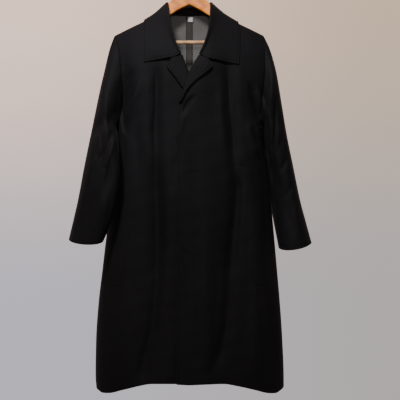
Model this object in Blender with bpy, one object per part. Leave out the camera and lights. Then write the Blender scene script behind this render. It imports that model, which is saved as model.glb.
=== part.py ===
"""A long single-breasted coat with a turned-down collar, hung open-necked on a wooden hanger.

Metres, +Z up. The front faces -Y and +X is the wearer's left. The origin is the point under the top
of the hook where the hanger hangs. Each cloth piece is a thin closed wall. The body pieces follow one
drape surface: a flattened tube that closes along the shoulders.
"""

from math import cos, pi, sin

import bpy
import numpy as np

# Cloth walls and the gaps between pieces.
CLOTH = 0.0016
COLLAR_CLOTH = 0.0018
TRIM_CLOTH = 0.0011
SEAM_GAP = 0.0006
SLEEVE_GAP = 0.0006
UNDERARM_GAP = {"right": 0.0003, "left": 0.0018}
UNDERARM_GAP_FROM_Z = -0.410
UNDERARM_GAP_OVER = 0.050
SIGN = {"right": -1.0, "left": 1.0}

# Body: shoulder line, cross section and landmarks.
SHOULDER_PEAK_Z = -0.1098
SHOULDER_SLOPE = 0.485
SHOULDER_ROUND = 0.20
SECTION_POWER = 2.4
CORNER_X = 0.2185
NECK_X = 0.085
BACK_NECK_Z = -0.1457
UNDERARM_Z = -0.465
HEM_SIDE_Z = -1.233

# Places up a panel's outer border: 0 at the hem, 1 at the shoulder seam.
ARM_V = 0.72
HEM_FADE_V = 0.25

# Overlap of the fronts, lapels and collar.
OVERLAP_STEP = 0.0090
OVERLAP_FROM_X = 0.035
OVERLAP_TO_X = 0.110
LAPEL_LIFT = 0.0050
STAND_SHARE = 0.60
STAND_FROM_SEAM = 0.0018
LEAF_ABOVE_STAND = 0.0006
ROLL_RADIUS = 0.0033
ROLL_TURNS = (0.0, pi / 4, pi / 2, 3 * pi / 4, pi)

# How finely the pieces are cut into faces.
LOW_ROWS = 16
HIGH_ROWS = 13
FRONT_COLUMNS = 17
BACK_COLUMNS = 15
BACK_NECK_COLUMN = 5
SLEEVE_AROUND = 24
SLEEVE_ALONG = 18
COLLAR_ALONG = 19
COLLAR_SPREAD = (0.0, 0.13, 0.27, 0.40, 0.475, 0.52, 0.555, 0.62, 0.74, 0.87, 1.0)
STAND_ROWS = 3
LAPEL_ALONG = 13
LAPEL_ACROSS = (0.0, 0.05, 0.11, 0.22, 0.45, 0.72, 1.0)

# Trims: the strip over the centre back seam, the label on it, and the pocket strips.
TAPE_HALF = 0.010
LABEL_X = (-0.0041, 0.0106)
LABEL_LOW_Z = -0.1635
LABEL_TOP_Z = -0.1495
LABEL_THICK = 0.0010
WELT_ROWS = (6.1, 9.1)
WELT_COLUMNS = (9.0, 10.7)
WELT_SLANT = -0.5
WELT_ABOVE_FRONT = 0.0009

# Hanger: wood, bar and wire hook.
WOOD_UNDER_CLOTH = 0.0029
WOOD_HALF = 0.0065
WOOD_ROUND = 0.0045
BAR_Z = -0.230
BAR_RADIUS = 0.0056
BAR_HALF_LENGTH = 0.188
SOCKET_GAP = 0.0003
BAR_SIDES = 16
WIRE_RADIUS = 0.0018
WIRE_SIDES = 10
HOOK_RADIUS = 0.0215
STEM_LOW_Z = -0.094
# Upper edge of the wood where it shows in the neck, and its lower edge from the end to the middle.
WOOD_TOP = (
    (0.0, -0.0800), (0.012, -0.0808), (0.026, -0.0850), (0.042, -0.0950), (0.057, -0.1120),
    (0.068, -0.1300), (0.0785, -0.1475),
)
WOOD_LOW = (
    (0.2130, -0.2260), (0.2060, -0.2420), (0.1900, -0.2440), (0.1760, -0.2300), (0.1560, -0.2130),
    (0.1200, -0.1880), (0.0600, -0.1530), (0.0200, -0.1290), (0.0, -0.1200),
)
# Upper edge near the end, as place and drop below the cloth.
WOOD_END = ((0.2050, 0.0018), (0.2110, 0.0070))

# Half width of the body on the wearer's right and left, and half depth, by height.
BODY = {
    "z": (-1.26, -1.20, -1.10, -1.00, -0.90, -0.81, -0.73, -0.65, -0.56, -0.465, -0.38, -0.30, -0.10),
    "right": (
        0.2690, 0.2735, 0.2720, 0.2655, 0.2540, 0.2435, 0.2330,
        0.2235, 0.2140, 0.2115, 0.226, 0.236, 0.246,
    ),
    "left": (
        0.2775, 0.2770, 0.2730, 0.2665, 0.2580, 0.2500, 0.2425,
        0.2330, 0.2200, 0.2160, 0.228, 0.238, 0.248,
    ),
    "front": (
        0.098, 0.096, 0.093, 0.090, 0.087, 0.085, 0.083,
        0.082, 0.080, 0.078, 0.076, 0.070, 0.048,
    ),
    "back": (0.082, 0.080, 0.077, 0.075, 0.073, 0.071, 0.069, 0.067, 0.066, 0.064, 0.063, 0.061, 0.056),
}

# Height of the hem by distance from the centre.
HEM = {
    "x": (0.000, 0.050, 0.100, 0.140, 0.190, 0.230, 0.250, 0.262, 0.280),
    "front": (-1.213, -1.211, -1.212, -1.219, -1.232, -1.244, -1.246, -1.242, -1.233),
    "back": (-1.224, -1.224, -1.225, -1.227, -1.233, -1.241, -1.245, -1.242, -1.233),
}

# Inner edge of each front from the hem up: front edge, roll line, then neck seam.
FRONT_EDGE = {
    "v": (0.0, 0.30, 0.60, 0.725, 0.755, 0.785, 0.810, 0.832, 0.854, 0.882, 0.912, 0.945, 0.975, 1.0),
    "right_x": (
        0.030, 0.030, 0.030, 0.030, 0.027, 0.016, 0.004,
        -0.0039, -0.0133, -0.0239, -0.044, -0.062, -0.076, -0.085,
    ),
    "right_z": (
        -1.213, -0.88, -0.565, -0.440, -0.402, -0.372, -0.345,
        -0.3224, -0.3007, -0.2707, -0.238, -0.198, -0.165, -0.1455,
    ),
    "left_x": (
        -0.034, -0.0335, -0.033, -0.0325, -0.0215, -0.0132, -0.0075,
        0.0039, 0.0165, 0.032, 0.050, 0.066, 0.078, 0.085,
    ),
    "left_z": (
        -1.213, -0.88, -0.565, -0.440, -0.397, -0.3732, -0.3548,
        -0.328, -0.3054, -0.277, -0.238, -0.198, -0.165, -0.1455,
    ),
}

# Armhole above the underarm: distance from the centre on the front and the back, and height.
ARMHOLE = {
    "v": (0.745, 0.785, 0.835, 0.890, 0.945, 1.0),
    "front_right": (0.2020, 0.1950, 0.1920, 0.1955, 0.2040, CORNER_X),
    "front_left": (0.2070, 0.2100, 0.2150, 0.2200, 0.2210, CORNER_X),
    "back_right": (0.2050, 0.2040, 0.2040, 0.2060, 0.2110, CORNER_X),
    "back_left": (0.2070, 0.2060, 0.2060, 0.2080, 0.2120, CORNER_X),
    "z": (-0.455, -0.425, -0.375, -0.320, -0.262, -0.2105),
}

# Sleeve rings from the armhole down: outer point, inner point and half thickness across them.
SLEEVE_LEFT = {
    "at": (0.0, 0.10, 0.22, 0.36, 0.52, 0.66, 0.80, 0.90, 1.0),
    "outer_x": (0.2190, 0.2365, 0.2535, 0.2695, 0.2870, 0.3060, 0.3270, 0.3435, 0.3590),
    "outer_y": (0.000, 0.000, 0.002, 0.006, 0.010, 0.012, 0.010, 0.006, 0.002),
    "outer_z": (-0.2105, -0.2480, -0.3060, -0.3950, -0.5000, -0.5920, -0.6950, -0.7580, -0.8160),
    "inner_x": (0.2160, 0.2205, 0.2205, 0.2190, 0.2210, 0.2290, 0.2420, 0.2510, 0.2620),
    "inner_y": (0.000, 0.004, 0.014, 0.030, 0.044, 0.044, 0.032, 0.016, 0.000),
    "inner_z": (-0.4650, -0.4710, -0.4830, -0.5110, -0.5650, -0.6250, -0.7050, -0.7660, -0.8270),
    "half": (0.045, 0.054, 0.062, 0.066, 0.066, 0.063, 0.058, 0.055, 0.052),
}
SLEEVE_RIGHT = {
    "at": (0.0, 0.10, 0.22, 0.36, 0.52, 0.66, 0.80, 0.90, 1.0),
    "outer_x": (-0.2190, -0.2320, -0.2470, -0.2640, -0.2815, -0.3000, -0.3165, -0.3300, -0.3440),
    "outer_y": (0.000, -0.004, -0.010, -0.022, -0.038, -0.050, -0.056, -0.056, -0.054),
    "outer_z": (-0.2105, -0.2480, -0.3150, -0.4000, -0.4950, -0.5930, -0.6850, -0.7450, -0.8020),
    "inner_x": (-0.2100, -0.2140, -0.2160, -0.2080, -0.1970, -0.1935, -0.2050, -0.2210, -0.2420),
    "inner_y": (0.000, -0.002, -0.014, -0.046, -0.078, -0.090, -0.090, -0.086, -0.082),
    "inner_z": (-0.4650, -0.4720, -0.4860, -0.5150, -0.5650, -0.6250, -0.7020, -0.7580, -0.8080),
    "half": (0.045, 0.052, 0.056, 0.054, 0.048, 0.044, 0.042, 0.042, 0.044),
}

# Collar stations from the gorge to the centre back: neck seam and leaf edge as places on the drape
# surface (x, and height below the shoulder line, negative behind), and the roll at the top in space.
COLLAR = {
    "at": (0.0, 0.10, 0.22, 0.36, 0.52, 0.66, 0.80, 0.90, 1.0),
    "neck_x": (0.0320, 0.0440, 0.0590, 0.0730, 0.0850, 0.0780, 0.0540, 0.0280, 0.0),
    "neck_h": (0.1570, 0.1220, 0.0780, 0.0300, 0.0, -0.0030, -0.0140, -0.0270, -0.0359),
    "roll_x": (0.0300, 0.0435, 0.0550, 0.0625, 0.0725, 0.0670, 0.0490, 0.0260, 0.0),
    "roll_y": (-0.0775, -0.0725, -0.0625, -0.0445, -0.0040, 0.0200, 0.0410, 0.0490, 0.0510),
    "roll_z": (-0.2730, -0.2440, -0.2030, -0.1600, -0.1220, -0.1175, -0.1120, -0.1090, -0.1080),
    "edge_x": (0.1420, 0.1445, 0.1455, 0.1460, 0.1420, 0.1340, 0.1010, 0.0520, 0.0),
    "edge_h": (0.1300, 0.1050, 0.0730, 0.0340, 0.0, -0.0160, -0.0430, -0.0640, -0.0760),
}
# Across the leaf: share of the way out, distance off the drape surface, dip towards the notch.
LEAF_SECTION = ((0.22, 0.0094, 0.0062), (0.46, 0.0072, 0.0042), (0.74, 0.0056, 0.0020), (1.0, 0.0046, 0.0))
# How much nearer the centre they lie on the wearer's right, up to which station, fading over how much.
COLLAR_RIGHT_SHIFT = {
    "roll_x": (0.0085, 0.52, 0.25),
    "neck_x": (0.0085, 0.30, 0.30),
    "edge_x": (0.0130, 1.0, 0.40),
}

# Lapels: places down the roll line, and the outer edge in front view, with a corner at the tip.
LAPEL_LEFT = {
    "at": (0.0, 0.13, 0.17, 0.21, 0.36, 0.52, 0.68, 0.80, 0.90, 1.0),
    "edge_x": (0.0545, 0.0655, 0.0672, 0.0655, 0.0520, 0.0370, 0.0200, 0.0060, -0.0070, -0.0200),
    "edge_z": (
        -0.2865, -0.3050, -0.3092, -0.3135, -0.3270,
        -0.3385, -0.3515, -0.3650, -0.3800, -0.4080,
    ),
}
LAPEL_RIGHT = {
    "at": (0.0, 0.13, 0.17, 0.21, 0.36, 0.52, 0.68, 0.80, 0.90, 1.0),
    "edge_x": (-0.0475, -0.0610, -0.0642, -0.0622, -0.0520, -0.0420, -0.0300, -0.0190, -0.0060, 0.0080),
    "edge_z": (
        -0.2845, -0.3020, -0.3074, -0.3110, -0.3250,
        -0.3370, -0.3540, -0.3700, -0.3840, -0.3980,
    ),
}

# Folds: each is a path in front view with a half width and a depth, positive forward.
FRONT_FOLDS = (
    (((-0.098, -0.30), (-0.100, -0.43), (-0.096, -0.53)), 0.020, -0.0100),
    (((-0.104, -0.60), (-0.097, -0.75), (-0.098, -0.93)), 0.024, -0.0110),
    (((-0.098, -0.95), (-0.106, -1.06), (-0.128, -1.20)), 0.022, -0.0090),
    (((0.113, -0.30), (0.126, -0.42), (0.129, -0.57)), 0.020, -0.0090),
    (((0.136, -0.61), (0.132, -0.75), (0.128, -0.90)), 0.022, -0.0100),
    (((0.120, -0.94), (0.106, -1.06), (0.072, -1.17)), 0.022, -0.0080),
    (((-0.0320, -0.62), (-0.030, -0.80), (-0.036, -1.00)), 0.030, 0.0040),
    (((0.190, -0.36), (0.205, -0.46)), 0.014, -0.0070),
    (((0.176, -0.47), (0.196, -0.56)), 0.016, 0.0060),
    (((-0.170, -0.32), (-0.192, -0.44)), 0.016, -0.0090),
    (((0.190, -0.70), (0.200, -0.95), (0.205, -1.20)), 0.026, 0.0060),
    (((-0.190, -0.72), (-0.196, -0.95), (-0.205, -1.20)), 0.026, 0.0060),
)
BACK_FOLDS = (
    (((-0.105, -0.34), (-0.112, -0.60), (-0.120, -0.92)), 0.026, -0.0110),
    (((0.112, -0.36), (0.118, -0.64), (0.112, -0.98)), 0.026, -0.0110),
    (((-0.128, -0.96), (-0.140, -1.20)), 0.026, -0.0100),
    (((0.106, -1.00), (0.090, -1.20)), 0.024, -0.0090),
    (((-0.050, -0.70), (-0.046, -1.20)), 0.030, 0.0060),
    (((0.045, -0.75), (0.040, -1.20)), 0.030, 0.0060),
    (((0.170, -0.38), (0.196, -0.50)), 0.018, -0.0070),
    (((-0.170, -0.38), (-0.194, -0.50)), 0.018, -0.0070),
)

# Sleeve folds: place along and turn round from the outer line over the front, half width, depth.
SLEEVE_FOLDS_LEFT = (
    (((0.20, 0.30), (0.42, 0.20)), 0.018, -0.0080),
    (((0.18, 0.42), (0.40, 0.36)), 0.016, -0.0070),
    (((0.40, 0.12), (0.62, 0.22)), 0.020, -0.0070),
    (((0.50, 0.42), (0.72, 0.30)), 0.018, -0.0060),
    (((0.24, 0.72), (0.50, 0.66)), 0.022, -0.0080),
    (((0.55, 0.80), (0.80, 0.70)), 0.022, -0.0060),
)
SLEEVE_FOLDS_RIGHT = (
    (((0.12, 0.36), (0.36, 0.30)), 0.018, -0.0090),
    (((0.30, 0.32), (0.50, 0.12)), 0.018, -0.0090),
    (((0.46, 0.20), (0.62, 0.26)), 0.014, -0.0060),
    (((0.62, 0.36), (0.84, 0.24)), 0.018, -0.0050),
    (((0.24, 0.70), (0.50, 0.76)), 0.022, -0.0080),
    (((0.55, 0.66), (0.80, 0.76)), 0.022, -0.0060),
)
# How far the front and the back of each cuff hang down.
CUFF_DROP_LEFT = (0.006, 0.020)
CUFF_DROP_RIGHT = (0.012, 0.003)
SLEEVES = {
    "right": (SLEEVE_RIGHT, SLEEVE_FOLDS_RIGHT, CUFF_DROP_RIGHT),
    "left": (SLEEVE_LEFT, SLEEVE_FOLDS_LEFT, CUFF_DROP_LEFT),
}
# Each lapel's table, and how far up its front edge it starts and ends.
LAPELS = {"right": (LAPEL_RIGHT, (0.8745, 0.757)), "left": (LAPEL_LEFT, (0.880, 0.742))}


def remove_startup_objects():
    for thing in list(bpy.data.objects):
        bpy.data.objects.remove(thing, do_unlink=True)


def smooth_curve(stations, values, at):
    """Cubic through the table's rows, with slopes limited so that it never overshoots a row."""
    s = np.asarray(stations, float)
    y = np.asarray(values, float)
    at = np.clip(np.asarray(at, float), s[0], s[-1])
    step = np.diff(s)
    rise = np.diff(y) / step
    slope = np.zeros(len(y))
    same = rise[:-1] * rise[1:] > 0
    before = 2 * step[1:] + step[:-1]
    after = step[1:] + 2 * step[:-1]
    mixed = (before + after) / (
        before / np.where(same, rise[:-1], 1) + after / np.where(same, rise[1:], 1)
    )
    slope[1:-1] = np.where(same, mixed, 0)
    slope[0] = rise[0]
    slope[-1] = rise[-1]
    k = np.clip(np.searchsorted(s, at, side="right") - 1, 0, len(step) - 1)
    t = (at - s[k]) / step[k]
    h = step[k]
    return (
        y[k] * (2 * t**3 - 3 * t**2 + 1)
        + slope[k] * h * (t**3 - 2 * t**2 + t)
        + y[k + 1] * (3 * t**2 - 2 * t**3)
        + slope[k + 1] * h * (t**3 - t**2)
    )


def body_size(name, z):
    return smooth_curve(BODY["z"], BODY[name], z)


def half_width(x, z):
    """Half width of the body at a height, blended from one side to the other near the centre."""
    share = np.clip(0.5 + x / 0.06, 0, 1)
    return body_size("right", z) * (1 - share) + body_size("left", z) * share


def shoulder_z(x):
    """Height of the shoulder line, rounded over at the centre where the neck is cut away."""
    return SHOULDER_PEAK_Z - SHOULDER_SLOPE * (np.sqrt(x**2 + 0.012**2) - 0.012)


def fold_depth(x, z, folds):
    """Sum of the folds at points in front view."""
    total = np.zeros(np.shape(x))
    for path, half, depth in folds:
        path = np.asarray(path, float)
        lengths = np.linalg.norm(np.diff(path, axis=0), axis=1)
        run = np.concatenate([[0], np.cumsum(lengths)]) / lengths.sum()
        best = np.full(np.shape(x), 1e9)
        along = np.zeros(np.shape(x))
        for k in range(len(path) - 1):
            edge = path[k + 1] - path[k]
            t = ((x - path[k, 0]) * edge[0] + (z - path[k, 1]) * edge[1]) / (edge @ edge)
            t = np.clip(t, -0.35 if k == 0 else 0, 1.35 if k == len(path) - 2 else 1)
            near = np.hypot(x - path[k, 0] - t * edge[0], z - path[k, 1] - t * edge[1])
            closer = near < best
            best = np.where(closer, near, best)
            along = np.where(closer, run[k] + t * (run[k + 1] - run[k]), along)
        ends = np.clip((along + 0.2) / 0.4, 0, 1) * np.clip((1.2 - along) / 0.4, 0, 1)
        ends = ends * ends * (3 - 2 * ends)
        total = total + depth * ends * np.exp(-((best / half) ** 2))
    return total


def drape(x, below, folds=True):
    """Point of the drape surface: x, and height below the shoulder line, negative on the back."""
    x = np.asarray(x, float)
    below = np.asarray(below, float)
    x, below = np.broadcast_arrays(x, below)
    z = shoulder_z(x) - np.abs(below)
    front = below >= 0
    depth = np.where(front, body_size("front", z), body_size("back", z))
    share = np.clip(np.abs(x) / half_width(x, z), 0, 1)
    across = (1 - share**SECTION_POWER) ** (1 / SECTION_POWER)
    down = np.clip(np.abs(below) / SHOULDER_ROUND, 0, 1)
    closing = np.sqrt(1 - (1 - down) ** 2)
    out = depth * across * closing
    if folds:
        still = closing * np.clip(across * 3, 0, 1)
        out = out + still * np.where(front, fold_depth(x, z, FRONT_FOLDS), fold_depth(x, z, BACK_FOLDS))
    return np.stack([x, np.where(front, -out, out), z], axis=-1)


def grid_normals(grid, flip=1.0, ring=False):
    """Unit normals of a grid of points; the second way round closes on itself for a ring."""
    grid = np.asarray(grid)
    if ring:
        wide = np.concatenate([grid[:, -1:], grid, grid[:, :1]], axis=1)
        across = wide[:, 2:] - wide[:, :-2]
    else:
        across = np.gradient(grid, axis=1)
    along = np.gradient(grid, axis=0)
    normal = np.cross(along, across) * flip
    length = np.linalg.norm(normal, axis=-1, keepdims=True)
    return normal / np.maximum(length, 1e-12)


def share_normals(first, second):
    """One normal along a seam for both pieces, so that their edges stay parallel."""
    both = first + second
    both /= np.linalg.norm(both, axis=-1, keepdims=True)
    first[...] = both
    second[...] = both


def pull_back(grid, side, gap):
    """The grid with one border row moved towards its neighbour row by the gap."""
    grid = grid.copy()
    edge, next_row = {
        "top": (grid[-1], grid[-2]),
        "low": (grid[0], grid[1]),
        "end": (grid[:, -1], grid[:, -2]),
        "start": (grid[:, 0], grid[:, 1]),
    }[side]
    way = next_row - edge
    edge += way / np.linalg.norm(way, axis=-1, keepdims=True) * gap
    return grid


def material(name, colour, roughness, metallic=0.0):
    made = bpy.data.materials.new(name)
    made.use_nodes = True
    shader = made.node_tree.nodes["Principled BSDF"]
    shader.inputs["Base Color"].default_value = (*colour, 1.0)
    shader.inputs["Roughness"].default_value = roughness
    shader.inputs["Metallic"].default_value = metallic
    return made


def new_object(name, points, faces, look, parent, origin=(0.0, 0.0, 0.0)):
    """A smooth-shaded object whose own origin lies at the given place, under its parent."""
    mesh = bpy.data.meshes.new(name)
    mesh.from_pydata([tuple(np.asarray(p, float) - origin) for p in points], [], faces)
    mesh.update()
    mesh.materials.append(look)
    mesh.shade_smooth()
    mesh.set_sharp_from_angle(angle=0.9)
    thing = bpy.data.objects.new(name, mesh)
    bpy.context.collection.objects.link(thing)
    thing.parent = parent
    thing.location = origin
    return thing


def new_empty(name):
    empty = bpy.data.objects.new(name, None)
    bpy.context.collection.objects.link(empty)
    return empty


def wall(name, grid, normals, thickness, look, parent, ring=False):
    """A closed wall: the outer face is the grid, the inner one lies one thickness behind it."""
    rows, columns = grid.shape[:2]
    inner = grid - normals * thickness
    points = np.concatenate([grid.reshape(-1, 3), inner.reshape(-1, 3)])
    back = rows * columns
    around = columns if ring else columns - 1
    faces = []
    for i in range(rows - 1):
        for j in range(around):
            a = i * columns + j
            b = i * columns + (j + 1) % columns
            c = (i + 1) * columns + (j + 1) % columns
            d = (i + 1) * columns + j
            faces.append((a, d, c, b))
            faces.append((back + a, back + b, back + c, back + d))
    for j in range(around):
        k = (j + 1) % columns
        faces.append((j, k, back + k, back + j))
        low = (rows - 1) * columns
        faces.append((low + k, low + j, back + low + j, back + low + k))
    if not ring:
        for i in range(rows - 1):
            a = i * columns
            b = (i + 1) * columns
            faces.append((b, a, back + a, back + b))
            a += columns - 1
            b += columns - 1
            faces.append((a, b, back + b, back + a))
    return new_object(name, points, faces, look, parent, grid[0].mean(axis=0))


def outer_border(v, side, face):
    """Side seam then armhole: signed x and height at each v."""
    low = v < ARM_V
    z_low = HEM_SIDE_Z + (UNDERARM_Z - HEM_SIDE_Z) * np.clip(v / ARM_V, 0, 1)
    x_low = body_size(side, z_low)
    stations = (ARM_V, *ARMHOLE["v"])
    xs = (float(body_size(side, UNDERARM_Z)), *ARMHOLE[f"{face}_{side}"])
    zs = (UNDERARM_Z, *ARMHOLE["z"])
    x = np.where(low, x_low, smooth_curve(stations, xs, v))
    z = np.where(low, z_low, smooth_curve(stations, zs, v))
    return x * SIGN[side], z


def panel_rows(count_low, count_high):
    """Rows from the hem to the underarm, then closer and closer up to the shoulder seam."""
    low = np.linspace(0, ARM_V, count_low, endpoint=False)
    t = np.linspace(0, 1, count_high)
    return np.concatenate([low, 1 - (1 - ARM_V) * (1 - t) ** 2.1])


def to_side_seam(x, z, v, share, inner_x, side):
    """Below the underarm, x spread anew so that the last column lies on the side seam."""
    outer = body_size(side, z) * SIGN[side]
    seam = inner_x[:, None] + (outer - inner_x[:, None]) * share
    return np.where(v[:, None] <= ARM_V, seam, x)


def front_panel(side):
    v = panel_rows(LOW_ROWS, HIGH_ROWS)
    inner_x = smooth_curve(FRONT_EDGE["v"], FRONT_EDGE[side + "_x"], v)
    inner_z = smooth_curve(FRONT_EDGE["v"], FRONT_EDGE[side + "_z"], v)
    outer_x, outer_z = outer_border(v, side, "front")
    u = np.linspace(0, 1, FRONT_COLUMNS)
    bend = np.clip((1 - v) / (1 - ARM_V), 0, 1)[:, None]
    share = np.sin(u * pi / 2)[None] * bend + u[None] * (1 - bend)
    x = inner_x[:, None] + (outer_x - inner_x)[:, None] * share
    z = inner_z[:, None] + (outer_z - inner_z)[:, None] * share
    level = inner_z[0] + (outer_z[0] - inner_z[0]) * share[0]
    sag = smooth_curve(HEM["x"], HEM["front"], np.abs(x[0])) - level
    z = z + sag[None] * np.clip(1 - v / HEM_FADE_V, 0, 1)[:, None] ** 1.5
    x = to_side_seam(x, z, v, share, inner_x, side)
    below = np.maximum(shoulder_z(x) - z, 0)
    below[-1] = 0
    grid = drape(x, below)
    if side == "left":
        grid[..., 1] -= front_step(grid[..., 0], grid[..., 2])
    return grid


def front_step(x, z):
    """How far the upper front lies in front of the lower one where they overlap."""
    t = np.clip((OVERLAP_TO_X - x) / (OVERLAP_TO_X - OVERLAP_FROM_X), 0, 1)
    fade = np.clip((-0.255 - z) / 0.06, 0, 1)
    return OVERLAP_STEP * t * t * (3 - 2 * t) * fade * fade * (3 - 2 * fade)


def back_panel(side):
    v = panel_rows(LOW_ROWS, HIGH_ROWS)
    outer_x, outer_z = outer_border(v, side, "back")
    inner_z = np.interp(v, (0, ARM_V, 1), (-1.224, -0.45, BACK_NECK_Z))
    u = np.linspace(0, 1, BACK_COLUMNS)
    bend = np.clip((1 - v) / (1 - ARM_V), 0, 1)[:, None]
    neck_column = BACK_NECK_COLUMN / (BACK_COLUMNS - 1)
    flat = np.interp(u, (0, neck_column, 1), (0, NECK_X / CORNER_X, 1))
    share = np.sin(u * pi / 2)[None] * bend + flat[None] * (1 - bend)
    x = outer_x[:, None] * share
    z = inner_z[:, None] + (outer_z - inner_z)[:, None] * share
    level = inner_z[0] + (outer_z[0] - inner_z[0]) * share[0]
    sag = smooth_curve(HEM["x"], HEM["back"], np.abs(x[0])) - level
    z = z + sag[None] * np.clip(1 - v / HEM_FADE_V, 0, 1)[:, None] ** 1.5
    x = to_side_seam(x, z, v, share, 0 * v, side)
    top = np.where(np.abs(x[-1]) < NECK_X - 0.001, BACK_NECK_Z, shoulder_z(x[-1]))
    lift = np.clip((v - ARM_V) / (1 - ARM_V), 0, 1)[:, None]
    z = z + (top - z[-1])[None] * lift
    below = np.maximum(shoulder_z(x) - z, 1e-7)
    below[-1] = np.where(np.abs(x[-1]) < NECK_X - 0.001, below[-1], 1e-7)
    return drape(x, -below)


def drape_out(x, below, lift):
    """Point a given distance outside the drape surface."""
    step = 0.0015
    x = np.asarray(x, float)
    below = np.asarray(below, float)
    down = drape(x, below + step, False) - drape(x, below - step, False)
    across = drape(x + step, below, False) - drape(x - step, below, False)
    normal = np.cross(down, across)
    normal /= np.linalg.norm(normal, axis=-1, keepdims=True)
    return drape(x, below) + normal * np.asarray(lift)[..., None]


def through(points, places):
    """Points on a smooth curve through control points; axis 0 runs over the controls.

    The places are shares of the way along it, or a number of evenly spaced points.
    """
    points = np.asarray(points, float)
    lengths = np.linalg.norm(np.diff(points, axis=0), axis=-1)
    while lengths.ndim > 1:
        lengths = lengths.mean(axis=-1)
    run = np.concatenate([[0], np.cumsum(lengths)]) / lengths.sum()
    at = np.linspace(0, 1, places) if isinstance(places, int) else np.asarray(places)
    flat = points.reshape(len(points), -1)
    made = np.stack([smooth_curve(run, flat[:, k], at) for k in range(flat.shape[1])], axis=1)
    return made.reshape((len(at),) + points.shape[1:])


def resample_loop(rows, values, count):
    """Values given on a closed loop of rows, at evenly spaced places round it."""
    closed = np.concatenate([rows, rows[:1]])
    run = np.concatenate([[0], np.cumsum(np.linalg.norm(np.diff(closed, axis=0), axis=1))])
    at = np.linspace(0, run[-1], count, endpoint=False)
    values = np.concatenate([values, values[:1]])
    return np.stack([np.interp(at, run, values[:, k]) for k in range(values.shape[1])], axis=1)


def armhole_loop(front, front_normals, back, back_normals, count):
    """The armhole from the shoulder corner down the front and up the back: points, normals, way out."""
    rows = []
    for grid, normals in ((front, front_normals), (back, back_normals)):
        edge = grid[LOW_ROWS:, -1]
        away = edge - grid[LOW_ROWS:, -2]
        away /= np.linalg.norm(away, axis=1, keepdims=True)
        rows.append(np.concatenate([edge, normals[LOW_ROWS:, -1], away], axis=1))
    loop = np.concatenate([rows[0][::-1], rows[1][1:-1]])
    made = resample_loop(loop[:, :3], loop, count)
    return made[:, :3], made[:, 3:6], made[:, 6:]


def sleeve_grid(table, drop, folds, loop, count_along):
    """Rings from the armhole to the cuff.

    Each ring is an oval round the line between the table's outer and inner points, spread straight to the
    front and the back. drop is how far the front and back of the cuff hang down.
    """
    count = len(loop)
    at = np.linspace(0, 1, count_along) ** 1.15
    size = {key: smooth_curve(table["at"], table[key], at) for key in table if key != "at"}
    outer = np.stack([size["outer_x"], size["outer_y"], size["outer_z"]], axis=1)
    inner = np.stack([size["inner_x"], size["inner_y"], size["inner_z"]], axis=1)
    middle = (outer + inner) / 2
    axis = np.gradient(middle, axis=0)
    spoke = outer - middle
    front = np.array([0.0, -1.0, 0.0])
    turn = np.linspace(0, 2 * pi, count, endpoint=False)
    grid = (
        middle[:, None]
        + spoke[:, None] * np.cos(turn)[None, :, None]
        + front * (size["half"][:, None] * np.sin(turn)[None])[..., None]
    )
    fade = np.clip(at / 0.30, 0, 1)
    fade = (1 - fade * fade * (3 - 2 * fade))[:, None, None]
    grid = grid + (loop - grid[0])[None] * fade
    low = np.clip((at - 0.75) / 0.25, 0, 1)[:, None] ** 2
    share = np.sin(turn)[None]
    grid[..., 2] -= low * np.where(share > 0, drop[0], drop[1]) * np.abs(share)
    out = grid - middle[:, None]
    out -= axis[:, None] * np.sum(out * axis[:, None], axis=-1, keepdims=True) / np.sum(
        axis[:, None] ** 2, axis=-1, keepdims=True
    )
    out /= np.linalg.norm(out, axis=-1, keepdims=True)
    return grid + out * sleeve_folds(at[:, None], turn[None] / (2 * pi), folds)[..., None]


def sleeve_folds(at, turn, folds):
    """Folds given as paths of (place along, turn round), half width in metres and depth."""
    total = np.zeros(np.broadcast(at, turn).shape)
    for path, half, depth in folds:
        path = np.asarray(path, float)
        start, end = path[0], path[-1]
        way = (end - start) * (0.62, 0.36)
        for shift in (-1, 0, 1):
            da = (at - start[0]) * 0.62
            dt = (turn + shift - start[1]) * 0.36
            along = (da * way[0] + dt * way[1]) / (way @ way)
            held = np.clip(along, -0.3, 1.3)
            near = np.hypot(da - held * way[0], dt - held * way[1])
            ends = np.clip((along + 0.3) / 0.5, 0, 1) * np.clip((1.3 - along) / 0.5, 0, 1)
            total = total + depth * ends * np.exp(-((near / half) ** 2))
    start = np.clip((at - 0.08) / 0.26, 0, 1)
    return total * start * start * (3 - 2 * start)


def collar_curves():
    """Neck seam, roll and leaf edge from the wearer's right gorge round the back to the left one."""
    spread = np.linspace(0, 1, len(COLLAR_SPREAD))
    half = np.interp(np.linspace(0, 1, COLLAR_ALONG), spread, COLLAR_SPREAD)
    along = np.concatenate([half - 1, 1 - half[-2::-1]])
    at = 1 - np.abs(along)
    sign = np.where(along < 0, -1.0, 1.0)
    mirrored = (*COLLAR["at"], *(2 - k for k in reversed(COLLAR["at"][:-1])))
    size = {}
    for key in COLLAR:
        turn = -1 if key.endswith("_x") else 1
        if key != "at":
            both = (*COLLAR[key], *(turn * k for k in reversed(COLLAR[key][:-1])))
            size[key] = smooth_curve(mirrored, both, at)
    for key, (shift, until, over) in COLLAR_RIGHT_SHIFT.items():
        size[key] = size[key] - shift * (along < 0) * np.clip((until - at) / over, 0, 1)
    roll = np.stack([sign * size["roll_x"], size["roll_y"], size["roll_z"]], axis=1)
    return at, sign * size["neck_x"], size["neck_h"], roll, sign * size["edge_x"], size["edge_h"]


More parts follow.
